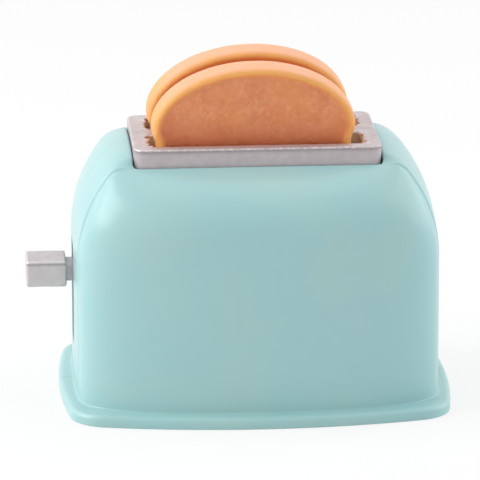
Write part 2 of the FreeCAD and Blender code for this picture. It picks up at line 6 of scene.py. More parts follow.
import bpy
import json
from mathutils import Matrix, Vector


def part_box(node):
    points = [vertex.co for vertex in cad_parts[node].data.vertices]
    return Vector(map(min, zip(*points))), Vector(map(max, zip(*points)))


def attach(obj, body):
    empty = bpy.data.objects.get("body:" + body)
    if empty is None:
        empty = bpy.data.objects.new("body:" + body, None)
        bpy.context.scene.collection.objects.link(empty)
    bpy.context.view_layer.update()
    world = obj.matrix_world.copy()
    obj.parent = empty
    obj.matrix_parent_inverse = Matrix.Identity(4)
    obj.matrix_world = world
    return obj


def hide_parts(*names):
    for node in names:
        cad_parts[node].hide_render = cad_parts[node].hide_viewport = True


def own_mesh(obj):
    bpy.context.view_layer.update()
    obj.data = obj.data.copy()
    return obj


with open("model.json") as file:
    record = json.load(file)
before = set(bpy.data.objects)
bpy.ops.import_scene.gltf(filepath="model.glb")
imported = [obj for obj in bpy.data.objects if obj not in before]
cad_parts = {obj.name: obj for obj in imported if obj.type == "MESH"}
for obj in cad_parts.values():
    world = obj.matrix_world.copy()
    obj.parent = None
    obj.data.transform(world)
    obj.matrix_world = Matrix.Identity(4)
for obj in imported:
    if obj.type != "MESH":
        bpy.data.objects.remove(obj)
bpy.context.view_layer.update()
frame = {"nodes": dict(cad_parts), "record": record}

import json
import logging
import math
from collections.abc import Callable
from dataclasses import dataclass, field
from enum import Enum

import bmesh
import bpy
import numpy as np
from mathutils import Vector, geometry, noise

MM = 0.001
FRONT_DROOP = 1.7
REAR_DROOP = 0.5
Points = np.ndarray
log = logging.getLogger("toaster")


class Slot(Enum):
    """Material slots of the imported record."""

    MINT = "mint_plastic"
    SILVER = "silver_paint"
    INNER = "inner_plastic"
    RUBBER = "stop_rubber"
    STEEL = "bright_steel"
    SCREW = "screw_steel"
    TOAST = "toast"


class Body(Enum):
    """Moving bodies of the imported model."""

    CASING = "casing"
    CARRIAGE = "carriage"
    FRONT_BREAD = "front_bread"
    REAR_BREAD = "rear_bread"


def linear(red: float, green: float, blue: float) -> tuple[float, float, float, float]:
    """Turn a display colour into the linear one that shaders use.

    Args:
        red: Red from 0 to 255.
        green: Green from 0 to 255.
        blue: Blue from 0 to 255.

    Returns:
        Linear red, green, blue and an alpha of 1.
    """
    shares = [channel / 255 for channel in (red, green, blue)]
    made = [s / 12.92 if s <= 0.04045 else ((s + 0.055) / 1.055) ** 2.4 for s in shares]
    return (made[0], made[1], made[2], 1.0)


class Tone:
    """One output socket, which makes Math nodes when it is used in an expression."""

    def __init__(self, graph: "Graph", socket: bpy.types.NodeSocket) -> None:
        """Keep the socket and the graph that it belongs to."""
        self.graph = graph
        self.socket = socket

    def _math(self, operation: str, first: object, second: object) -> "Tone":
        """Add one Math node.

        Args:
            operation: Name of the Math node's operation.
            first: First value or tone.
            second: Second value or tone, which some operations leave unused.

        Returns:
            The node's result.
        """
        return self.graph.node("ShaderNodeMath", {"operation": operation}, {0: first, 1: second})

    def __add__(self, other: object) -> "Tone":
        """Add a value or tone."""
        return self._math("ADD", self, other)

    __radd__ = __add__

    def __sub__(self, other: object) -> "Tone":
        """Take away a value or tone."""
        return self._math("SUBTRACT", self, other)

    def __rsub__(self, other: object) -> "Tone":
        """Take this tone from a value."""
        return self._math("SUBTRACT", other, self)

    def __mul__(self, other: object) -> "Tone":
        """Multiply by a value or tone."""
        return self._math("MULTIPLY", self, other)

    __rmul__ = __mul__

    def size(self) -> "Tone":
        """Return the tone without its sign."""
        return self._math("ABSOLUTE", self, 0.0)

    def highest(self, other: object) -> "Tone":
        """Return the higher of this tone and another."""
        return self._math("MAXIMUM", self, other)

    def span(self, low: float, high: float) -> "Tone":
        """Map the tone from low to high onto 0 to 1, smoothly and clamped.

        Args:
            low: Value that becomes 0.
            high: Value that becomes 1, which may be the lower one.

        Returns:
            The mapped tone.
        """
        settings = {"interpolation_type": "SMOOTHSTEP", "clamp": True}
        return self.graph.node("ShaderNodeMapRange", settings, {0: self, 1: low, 2: high})


class NodeTree:
    """Node tree of a material or of the world, emptied and filled again."""

    def __init__(self, owner: object) -> None:
        """Empty the tree.

        Args:
            owner: The material or world that it belongs to.
        """
        owner.use_nodes = True
        self.tree = owner.node_tree
        self.tree.nodes.clear()

    def node(self, kind: str, settings: dict | None = None, inputs: dict | None = None,
             output: object = 0) -> Tone | None:
        """Add a node.

        Args:
            kind: Blender's type name of the node.
            settings: Properties set first. The key stops holds a ramp's (place, colour) pairs.
            inputs: Values or tones by socket name or number.
            output: Name or number of the socket that is returned, or None for a last node.

        Returns:
            The chosen output.
        """
        made = self.tree.nodes.new(kind)
        for key, value in (settings or {}).items():
            if key == "stops":
                ramp = made.color_ramp.elements
                while len(ramp) < len(value):
                    ramp.new(0.5)
                for stop, (where, colour) in zip(ramp, value):
                    stop.position = where
                    stop.color = colour
            else:
                setattr(made, key, value)
        for key, value in (inputs or {}).items():
            if isinstance(value, Tone):
                self.tree.links.new(value.socket, made.inputs[key])
            else:
                made.inputs[key].default_value = value
        return None if output is None else Tone(self, made.outputs[output])

    def seen(self) -> Tone:
        """Tell what is seen from other light.

        Returns:
            1 for what is seen straight, mirrored or through glass, and 0 for the rest.
        """
        rays = [self.node("ShaderNodeLightPath", output=kind)
                for kind in ("Is Camera Ray", "Is Glossy Ray", "Is Transmission Ray")]
        return rays[0].highest(rays[1]).highest(rays[2])

    def blend(self, share: object, first: Tone, second: Tone) -> Tone:
        """Mix two shaders by the share of the second one."""
        return self.node("ShaderNodeMixShader", {}, {0: share, 1: first, 2: second})


class Graph(NodeTree):
    """Node tree of one finish, which ends in a Principled shader."""

    def __init__(self, name: str) -> None:
        """Start an empty material.

        Args:
            name: Name of the material.
        """
        self.material = bpy.data.materials.new(name)
        super().__init__(self.material)
        self.place = self.node("ShaderNodeTexCoord", output="Object")

    def mix(self, share: object, first: object, second: object, blend: str = "MIX") -> Tone:
        """Mix two colours.

        Args:
            share: How much of the second colour, from 0 to 1.
            first: First colour or tone.
            second: Second colour or tone.
            blend: Blend mode of the Mix node.

        Returns:
            The mixed colour.
        """
        settings = {"data_type": "RGBA", "blend_type": blend, "clamp_factor": True}
        return self.node("ShaderNodeMix", settings, {0: share, 6: first, 7: second}, 2)

    def noise(self, grain: float, detail: float = 2.0, rough: float = 0.5,
              stretch: Tone | None = None) -> Tone:
        """Add a noise pattern.

        Args:
            grain: Size of its features in metres.
            detail: Number of finer layers.
            rough: Strength of the finer layers.
            stretch: Coordinates to use in place of the object's own.

        Returns:
            The pattern, about 0 to 1.
        """
        place = stretch or self.place
        inputs = {"Vector": place, "Scale": 1 / grain, "Detail": detail, "Roughness": rough}
        return self.node("ShaderNodeTexNoise", {}, inputs, "Fac")

    def stretched(self, x: float, y: float, z: float) -> Tone:
        """Return the object's coordinates, multiplied along each axis."""
        settings = {"operation": "MULTIPLY"}
        return self.node("ShaderNodeVectorMath", settings, {0: self.place, 1: (x, y, z)}, "Vector")

    def height(self) -> Tone:
        """Return the height above the ground in metres."""
        return self.node("ShaderNodeSeparateXYZ", {}, {0: self.place}, "Z")

    def painted(self, name: str) -> Tone:
        """Return a value that a mesh carries on its points."""
        return self.node("ShaderNodeAttribute", {"attribute_name": name}, {}, "Fac")

    def bump(self, height: Tone, depth: float, before: Tone | None = None) -> Tone:
        """Turn a pattern into a surface normal.

        Args:
            height: Pattern from 0 to 1.
            depth: Height of the pattern in metres.
            before: Normal that it is added to.

        Returns:
            The new normal.
        """
        inputs = {"Height": height, "Distance": depth, "Strength": 1.0}
        if before is not None:
            inputs["Normal"] = before
        return self.node("ShaderNodeBump", {}, inputs, "Normal")

    def finish(self, inputs: dict) -> bpy.types.Material:
        """End the tree in a Principled shader.

        Args:
            inputs: Values or tones of the shader's sockets.

        Returns:
            The material.
        """
        surface = self.surface(inputs)
        self.node("ShaderNodeOutputMaterial", {"target": "ALL"}, {"Surface": surface}, None)
        return self.material

    def surface(self, inputs: dict) -> Tone:
        """Add a Principled shader with values or tones on its sockets."""
        return self.node("ShaderNodeBsdfPrincipled", {}, inputs, "BSDF")


@dataclass(frozen=True)
class MintPlastic:
    """Pale mint moulded plastic with a soft satin gloss."""

    colour: tuple = linear(166, 209, 210)
    warm: tuple = linear(169, 210, 208)
    cool: tuple = linear(163, 208, 211)
    dust: tuple = linear(226, 238, 238)
    roughness: float = 0.34
    rough_spread: float = 0.08
    cloud_size: float = 22 * MM
    flow_size: float = 3.5 * MM
    dust_size: float = 0.45 * MM
    grain_size: float = 0.7 * MM
    grain_depth: float = 0.006 * MM
    wave_size: float = 9 * MM
    wave_depth: float = 0.05 * MM

    def material(self) -> bpy.types.Material:
        """Build the finish: faint clouding, moulding skin and a little dust.

        Returns:
            The material.
        """
        graph = Graph("mint_plastic_finish")
        cloud = graph.noise(self.cloud_size, 2.0)
        flow = graph.noise(self.flow_size, 3.0)
        body = graph.mix(cloud.span(0.3, 0.7), self.warm, self.cool)
        body = graph.mix(flow.span(0.35, 0.75) * 0.25, body, self.colour)
        speck = graph.noise(self.dust_size, 1.0).span(0.76, 0.82)
        body = graph.mix(speck * 0.22, body, self.dust)
        skin = graph.bump(graph.noise(self.grain_size, 2.0), self.grain_depth)
        skin = graph.bump(graph.noise(self.wave_size, 1.0), self.wave_depth, skin)
        rough = flow * self.rough_spread + (self.roughness - self.rough_spread / 2) + speck * 0.12
        return graph.finish({"Base Color": body, "Roughness": rough, "Normal": skin,
                             "IOR": 1.5, "Coat Weight": 0.25, "Coat Roughness": 0.22})


@dataclass(frozen=True)
class SilverPaint:
    """Silver paint with a pinkish cast on plastic, grainy and worn on its edges."""

    colour: tuple = linear(200, 188, 191)
    dark: tuple = linear(176, 162, 165)
    chip: tuple = linear(226, 219, 219)
    # Tone of painted shade under the top edges and in the middle groove.
    shade_colour: tuple = linear(140, 128, 130)
    # Near-white tone of painted light on the slots' walls and on the knob.
    inside: tuple = linear(244, 240, 230)
    flake: tuple = linear(235, 228, 230)
    grime: tuple = linear(112, 100, 99)
    roughness: float = 0.40
    rough_spread: float = 0.16
    streak_size: float = 0.9 * MM
    streak_depth: float = 0.03 * MM
    mottle_size: float = 1.8 * MM
    flake_size: float = 0.16 * MM
    flake_depth: float = 0.004 * MM
    wear_size: float = 1.1 * MM
    grime_size: float = 0.8 * MM
    chip_size: float = 0.9 * MM
    chip_depth: float = 0.10 * MM

    def material(self) -> bpy.types.Material:
        """Build the finish: flakes, brushed streaks, worn and dirty edges, painted light and
        painted shade.

        Returns:
            The material.
        """
        graph = Graph("silver_paint_finish")
        streak = graph.noise(self.streak_size, 3.0, 0.6, graph.stretched(0.35, 1.0, 1.0))
        mottle = graph.noise(self.mottle_size, 4.0, 0.65)
        flake = graph.node("ShaderNodeTexVoronoi", {"feature": "F1"},
                           {"Vector": graph.place, "Scale": 1 / self.flake_size}, "Color")
        grain = graph.node("ShaderNodeSeparateColor", {}, {0: flake}, 0)
        edge = graph.painted("edge")
        body = graph.mix(mottle.span(0.3, 0.7) * 0.4, self.colour, self.dark)
        body = graph.mix(grain * 0.12, body, self.flake)
        # Painted light: the inner values lighten the slots' walls and the knob's top edge and
        # sides.
        body = graph.mix(graph.painted("inner") * 0.8, body, self.inside)
        worn = edge * graph.noise(self.wear_size, 3.0, 0.7).span(0.46, 0.58)
        body = graph.mix(worn * 0.75, body, self.chip)
        dirt = edge * graph.noise(self.grime_size, 3.0, 0.7).span(0.60, 0.68)
        body = graph.mix(dirt * 0.65, body, self.grime)
        # Painted shade: a dark reflection under the top edges and shade along the groove.
        body = graph.mix(graph.painted("shade") * 0.6, body, self.shade_colour)
        skin = graph.bump(grain, self.flake_depth)
        skin = graph.bump(streak, self.streak_depth, skin)
        skin = graph.bump(edge * graph.noise(self.chip_size, 2.0), self.chip_depth, skin)
        rough = mottle * self.rough_spread + (self.roughness - self.rough_spread / 2) + dirt * 0.2
        return graph.finish({"Base Color": body, "Roughness": rough, "Normal": skin,
                             "Metallic": 0.3, "Coat Weight": 0.2, "Coat Roughness": 0.2})


@dataclass(frozen=True)
class ToastVinyl:
    """Moulded vinyl toast: a wrinkled brown face inside a golden rim and a crust painted paler on
    top as painted light.
    """

    face: tuple = linear(238, 153, 104)
    face_dark: tuple = linear(222, 128, 80)
    face_pale: tuple = linear(246, 172, 124)
    face_warm: tuple = linear(244, 152, 88)
    # Tone of painted shade on the faces near the plate.
    low: tuple = linear(196, 94, 50)
    ridge: tuple = linear(246, 152, 84)
    rim: tuple = linear(250, 180, 100)
    # The crust's tones are painted light on top and painted shade on the sides.
    crust: tuple = linear(251, 184, 142)
    crust_side_shade: tuple = linear(247, 168, 98)
    speck: tuple = linear(250, 226, 200)
    roughness: float = 0.475
    rough_spread: float = 0.15
    patch_size: float = 6 * MM
    mottle_size: float = 1.2 * MM
    glow_size: float = 10 * MM
    fold_size: float = 4.6 * MM
    fold_depth: float = 0.10 * MM
    fold_gap: float = 2.6 * MM
    speck_size: float = 0.5 * MM
    pore_size: float = 0.55 * MM
    pore_depth: float = 0.03 * MM
    lump_size: float = 1.6 * MM
    lump_depth: float = 0.17 * MM
    light_scatter: float = 1.2 * MM
    plate_shade_heights: tuple = (69 * MM, 59 * MM)
    crust_light_heights: tuple = (66 * MM, 75 * MM)

    def material(self) -> bpy.types.Material:
        """Build the finish from the rim value that the mesh carries.

        Returns:
            The material.
        """
        graph = Graph("toast_finish")
        rim = graph.painted("rim")
        large = graph.noise(self.patch_size, 3.0, 0.6)
        small = graph.noise(self.mottle_size, 4.0, 0.6)
        face = graph.mix(large.span(0.35, 0.68) * 0.6, self.face, self.face_dark)
        glow = graph.noise(self.glow_size, 2.0).span(0.45, 0.65)
        face = graph.mix(glow * 0.5, face, self.face_warm)
        face = graph.mix(small.span(0.50, 0.74) * 0.6, face, self.face_pale)
        face = graph.mix(small.span(0.46, 0.30) * 0.35, face, self.face_dark)
        fold = (graph.noise(self.fold_size, 2.0, 0.55) - 0.5).size().span(0.045, 0.0)
        fold = fold * graph.noise(self.fold_gap, 2.0).span(0.48, 0.66) * rim.span(0.3, 0.1)
        face = graph.mix(fold * 0.35, face, self.ridge)
        # Painted shade: the faces turn darker towards the plate.
        face = graph.mix(graph.height().span(*self.plate_shade_heights) * 0.7, face, self.low)
        edge = rim + (small - 0.5) * 0.10
        # Painted light and shade: the crust is painted paler towards the top and more orange
        # towards the sides.
        crust = graph.mix(graph.height().span(*self.crust_light_heights), self.crust_side_shade, self.crust)
        crust = graph.mix(large.span(0.4, 0.7) * 0.35, crust, self.rim)
        body = graph.mix(edge.span(0.04, 0.27), face, self.ridge)
        body = graph.mix(edge.span(0.25, 0.40), body, self.rim)
        body = graph.mix(edge.span(0.50, 0.78), body, crust)
        speck = graph.noise(self.speck_size, 1.0).span(0.76, 0.81)
        body = graph.mix(speck * 0.45, body, self.speck)
        skin = graph.bump(graph.noise(self.pore_size, 3.0), self.pore_depth)
        skin = graph.bump(graph.noise(self.lump_size, 3.0, 0.6), self.lump_depth, skin)
        skin = graph.bump(fold, self.fold_depth, skin)
        rough = small * self.rough_spread + (self.roughness - self.rough_spread / 2)
        return graph.finish({"Base Color": body, "Roughness": rough, "Normal": skin,
                             "Subsurface Weight": 0.15, "Subsurface Radius": (1.0, 0.5, 0.22),
                             "Subsurface Scale": self.light_scatter})


@dataclass(frozen=True)
class DrawnSteel:
    """Bright drawn or turned steel."""

    name: str = "bright_steel_finish"
    colour: tuple = linear(196, 197, 200)
    roughness: float = 0.24
    stain: tuple = linear(150, 146, 142)
    line_size: float = 0.12 * MM
    line_depth: float = 0.004 * MM
    stain_size: float = 2.2 * MM

    def material(self) -> bpy.types.Material:
        """Build the finish: fine draw lines and faint stains.

        Returns:
            The material.
        """
        graph = Graph(self.name)
        lines = graph.noise(self.line_size, 2.0, 0.6, graph.stretched(1.0, 1.0, 0.08))
        stain = graph.noise(self.stain_size, 4.0, 0.6)
        body = graph.mix(stain.span(0.5, 0.75) * 0.4, self.colour, self.stain)
        rough = lines * 0.14 + stain * 0.10 + (self.roughness - 0.10)
        skin = graph.bump(lines, self.line_depth)
        return graph.finish({"Base Color": body, "Roughness": rough, "Normal": skin,
                             "Metallic": 1.0})


@dataclass(frozen=True)
class InnerPlastic:
    """Plain grey moulded plastic or rubber of the inner works."""

    name: str = "inner_plastic_finish"
    colour: tuple = linear(202, 202, 198)
    shade: tuple = linear(186, 187, 184)
    roughness: float = 0.5
    cloud_size: float = 7 * MM
    grain_size: float = 0.3 * MM
    grain_depth: float = 0.01 * MM

    def material(self) -> bpy.types.Material:
        """Build the finish: flow clouds and a fine spark-eroded skin.

        Returns:
            The material.
        """
        graph = Graph(self.name)
        cloud = graph.noise(self.cloud_size, 3.0)
        skin = graph.bump(graph.noise(self.grain_size, 2.0), self.grain_depth)
        body = graph.mix(cloud.span(0.3, 0.7), self.colour, self.shade)
        rough = cloud * 0.1 + (self.roughness - 0.05)
        return graph.finish({"Base Color": body, "Roughness": rough, "Normal": skin})


def finishes() -> dict[Slot, bpy.types.Material]:
    """Build one material for each slot of the record.

    Returns:
        The materials by slot.
    """
    rubber = InnerPlastic("stop_rubber_finish", linear(44, 44, 46), linear(56, 55, 55), 0.72)
    screw = DrawnSteel("screw_steel_finish", linear(178, 176, 170), 0.34)
    return {
        Slot.MINT: MintPlastic().material(),
        Slot.SILVER: SilverPaint().material(),
        Slot.TOAST: ToastVinyl().material(),
        Slot.STEEL: DrawnSteel().material(),
        Slot.SCREW: screw.material(),
        Slot.INNER: InnerPlastic().material(),
        Slot.RUBBER: rubber.material(),
    }


def dress_nodes(dressed: dict[Slot, bpy.types.Material]) -> None:
    """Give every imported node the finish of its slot.

    Args:
        dressed: The finishes by slot.
    """
    for part in frame["record"]["subparts"]:
        node = frame["nodes"][part["node"]]
        finish = dressed[Slot(part["material_slot"])]
        places = node.data.materials
        for place in range(len(places)):
            places[place] = finish
        if not places:
            places.append(finish)
        log.info("dressed %s in %s", part["node"], finish.name)


def smooth_step(share: Points) -> Points:
    """Ease a share from 0 to 1, clamped at both ends."""
    held = np.clip(share, 0.0, 1.0)
    return held * held * (3 - 2 * held)


def place_mesh(name: str, points: Points, faces: list, finish: bpy.types.Material,
               body: Body, slot: Slot, *nodes: str) -> bpy.types.Object:
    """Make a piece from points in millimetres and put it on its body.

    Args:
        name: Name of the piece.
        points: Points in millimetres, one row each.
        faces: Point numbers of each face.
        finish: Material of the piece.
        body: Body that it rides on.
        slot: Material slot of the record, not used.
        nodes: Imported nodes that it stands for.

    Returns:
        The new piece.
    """
    mesh = bpy.data.meshes.new(name)
    mesh.from_pydata((np.asarray(points, float) * MM).tolist(), [], faces)
    mesh.validate()
    mesh.materials.append(finish)
    piece = bpy.data.objects.new(name, mesh)
    bpy.context.scene.collection.objects.link(piece)
    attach(piece, body.value)
    if nodes:
        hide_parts(*nodes)
    return piece


def weld(piece: bpy.types.Object, gap: float) -> None:
    """Join the points of a piece that lie closer than a gap.

    Args:
        piece: The piece.
        gap: The gap in millimetres.
    """
    shape = bmesh.new()
    shape.from_mesh(piece.data)
    bmesh.ops.remove_doubles(shape, verts=shape.verts, dist=gap * MM)
    shape.to_mesh(piece.data)
    shape.free()


def smooth_piece(piece: bpy.types.Object, angle: float = 35.0) -> None:
    """Turn all faces outward and shade them smooth, with sharp edges past an angle.

    Args:
        piece: The piece.
        angle: Turn between two faces, in degrees, past which their edge stays sharp.
    """
    shape = bmesh.new()
    shape.from_mesh(piece.data)
    bmesh.ops.recalc_face_normals(shape, faces=shape.faces)
    shape.to_mesh(piece.data)
    shape.free()
    piece.data.polygons.foreach_set("use_smooth", [True] * len(piece.data.polygons))
    piece.data.set_sharp_from_angle(angle=math.radians(angle))


@dataclass(frozen=True)
class BodyForm:
    """Outer form of the body in millimetres: an arched end band and pillowed faces."""

    half_length: float = 42.4
    half_depth: float = 31.0
    shoulder_start: float = 34.6
    shoulder_rise: float = 14.4
    shoulder_radius: float = 34.5
    crown_radius: float = 10.5
    band_half: float = 16.6
    band_crown: float = 1.1
    step_low: float = 0.24
    step_high: float = 0.52
    step_rise: float = 14.0
    face_start: float = 43.2
    face_height: float = 14.3
    face_depth: float = 21.0
    least_reach: float = 0.6
    power: float = 2.6
    farthest: float = 2.2
    halvings: int = 34

    def centres(self) -> tuple[float, float, float, float, float]:
        """Find the centres of the arch's two arcs.

        Returns:
            The shoulder centre's X, the crown centre's X and Z, and the sine and cosine of the line
            through both.
        """
        big_x = self.half_length - self.shoulder_radius
        spread = self.shoulder_radius - self.crown_radius
        sine = self.shoulder_rise / spread
        cosine = math.sqrt(1 - sine * sine)
        small_z = self.shoulder_start + self.shoulder_rise
        return big_x, big_x + spread * cosine, small_z, sine, cosine

    def arch(self, x: Points, z: Points) -> Points:
        """Measure how far points lie outside the end band's arch.

        Args:
            x: X of the points.
            z: Z of the points.

        Returns:
            Distances in millimetres, below 0 inside.
        """
        big_x, small_x, small_z, sine, cosine = self.centres()
        side = np.abs(x)
        upright = side - self.half_length
        big = np.hypot(side - big_x, z - self.shoulder_start) - self.shoulder_radius
        small = np.hypot(np.maximum(side - small_x, 0), z - small_z) - self.crown_radius
        above = (z - small_z) * cosine > (side - small_x) * sine
        return np.where(z < self.shoulder_start, upright, np.where(above, small, big))

    def half_at(self, z: Points, inset: Points) -> Points:
        """Find the arch's half length at a height, inset all round.

        Args:
            z: The heights.
            inset: How far in from the arch.

        Returns:
            The half lengths.
        """
        big_x, small_x, small_z, sine, _ = self.centres()
        rise = z - self.shoulder_start
        big = big_x + np.sqrt(np.maximum((self.shoulder_radius - inset) ** 2 - rise ** 2, 0))
        crown = (self.crown_radius - inset) ** 2 - (z - small_z) ** 2
        small = small_x + np.sqrt(np.maximum(crown, 0))
        curved = np.where(rise < (self.shoulder_radius - inset) * sine, big, small)
        return np.where(rise < 0, self.half_length - inset, curved)

    def step(self, z: Points) -> Points:
        """Return how far the faces lie below the end band."""
        share = smooth_step((z - self.shoulder_start) / self.step_rise)
        return self.step_low + (self.step_high - self.step_low) * share

    def band(self, at: Points) -> Points:
        """Return how far points lie outside the end band."""
        crown = self.band_crown * (at[..., 1] / self.band_half) ** 2
        return self.arch(at[..., 0], at[..., 2]) + crown

    def pillow(self, at: Points) -> Points:
        """Measure how far points lie outside the pillowed faces.

        Args:
            at: Points of any grid.

        Returns:
            Shares of the outline, 0 on the faces and below 0 inside.
        """
        x, y, z = np.abs(at[..., 0]), np.abs(at[..., 1]), at[..., 2]
        share = np.clip((z - self.face_start) / self.face_height, 0, 0.9999)
        depth = self.half_depth - self.face_depth + self.face_depth * np.sqrt(1 - share ** 2)
        flat = np.minimum(self.band_half, depth - self.least_reach)
        half = np.maximum(self.half_at(z, self.band_crown + self.step(z)), 1.0)
        end = (x / half) ** self.power
        face = (np.maximum(y - flat, 0) / (depth - flat)) ** self.power
        over = np.maximum(z - self.face_start - self.face_height, 0)
        return (end + face) ** (1 / self.power) - 1 + over

    def reach(self, outside: Callable[[Points], Points], start: Points, toward: Points) -> Points:
        """Follow rays from inside the body to a surface.

        Args:
            outside: Method that says how far points lie outside.
            start: Where the rays start.
            toward: Points that they pass through.

        Returns:
            Where they meet the surface.
        """
        low = np.zeros(start.shape[:-1])
        high = np.full(start.shape[:-1], self.farthest)
        for _ in range(self.halvings):
            middle = (low + high) / 2
            inside = outside(start + (toward - start) * middle[..., None]) < 0
            low = np.where(inside, middle, low)
            high = np.where(inside, high, middle)
        return start + (toward - start) * ((low + high) / 2)[..., None]


@dataclass(frozen=True)
class FlangeForm:
    """Outline of the base flange in millimetres: four bowed sides and round corners."""

    half_length: float = 45.0
    half_depth: float = 35.0
    height: float = 2.8
    face_bow: float = 160.0
    end_bow: float = 170.0
    corner: float = 9.4
    top_round: float = 1.3
    bottom_round: float = 0.35
    foot_fillet: float = 0.4
    arc_points: int = 400
    halvings: int = 60

    def outline(self) -> tuple[Points, Points]:
        """Lay out one quarter of the outline, from the end to the face.

        Returns:
            Points and outward normals.
        """
        low, high = self.half_length / 5, self.half_length - self.corner
        for _ in range(self.halvings):
            x = (low + high) / 2
            bow = math.sqrt((self.face_bow - self.corner) ** 2 - x * x)
            y = self.half_depth - self.face_bow + bow
            if math.hypot(x - self.half_length + self.end_bow, y) > self.end_bow - self.corner:
                high = x
            else:
                low = x
        face_turn = math.atan2(y - self.half_depth + self.face_bow, x)
        end_turn = math.atan2(y, x - self.half_length + self.end_bow)
        arcs = [
            (self.half_length - self.end_bow, 0.0, self.end_bow, 0.0, end_turn),
            (x, y, self.corner, end_turn, face_turn),
            (0.0, self.half_depth - self.face_bow, self.face_bow, face_turn, math.pi / 2),
        ]
        points, normals = [], []
        for centre_x, centre_y, radius, start, end in arcs:
            for turn in np.linspace(start, end, self.arc_points):
                normal = (math.cos(turn), math.sin(turn))
                points.append((centre_x + radius * normal[0], centre_y + radius * normal[1]))
                normals.append(normal)
        return np.array(points), np.array(normals)

    def below(self, plan: Points) -> tuple[Points, Points]:
        """Find the outline beside points of the body's plan.

        Args:
            plan: X and Y of the body's outline, with Y at or below 0.

        Returns:
            Outline points and their outward normals, on the same rays from the middle.
        """
        points, normals = self.outline()
        turns = np.arctan2(points[:, 1], points[:, 0])
        wanted = np.arctan2(np.abs(plan[:, 1]), np.abs(plan[:, 0]))
        signs = np.stack([np.sign(plan[:, 0]), -np.ones(len(plan))], 1)
        signs[signs[:, 0] == 0, 0] = 1
        found = np.stack([np.interp(wanted, turns, points[:, k]) for k in (0, 1)], 1) * signs
        facing = np.stack([np.interp(wanted, turns, normals[:, k]) for k in (0, 1)], 1) * signs
        return found, facing / np.linalg.norm(facing, axis=1)[:, None]


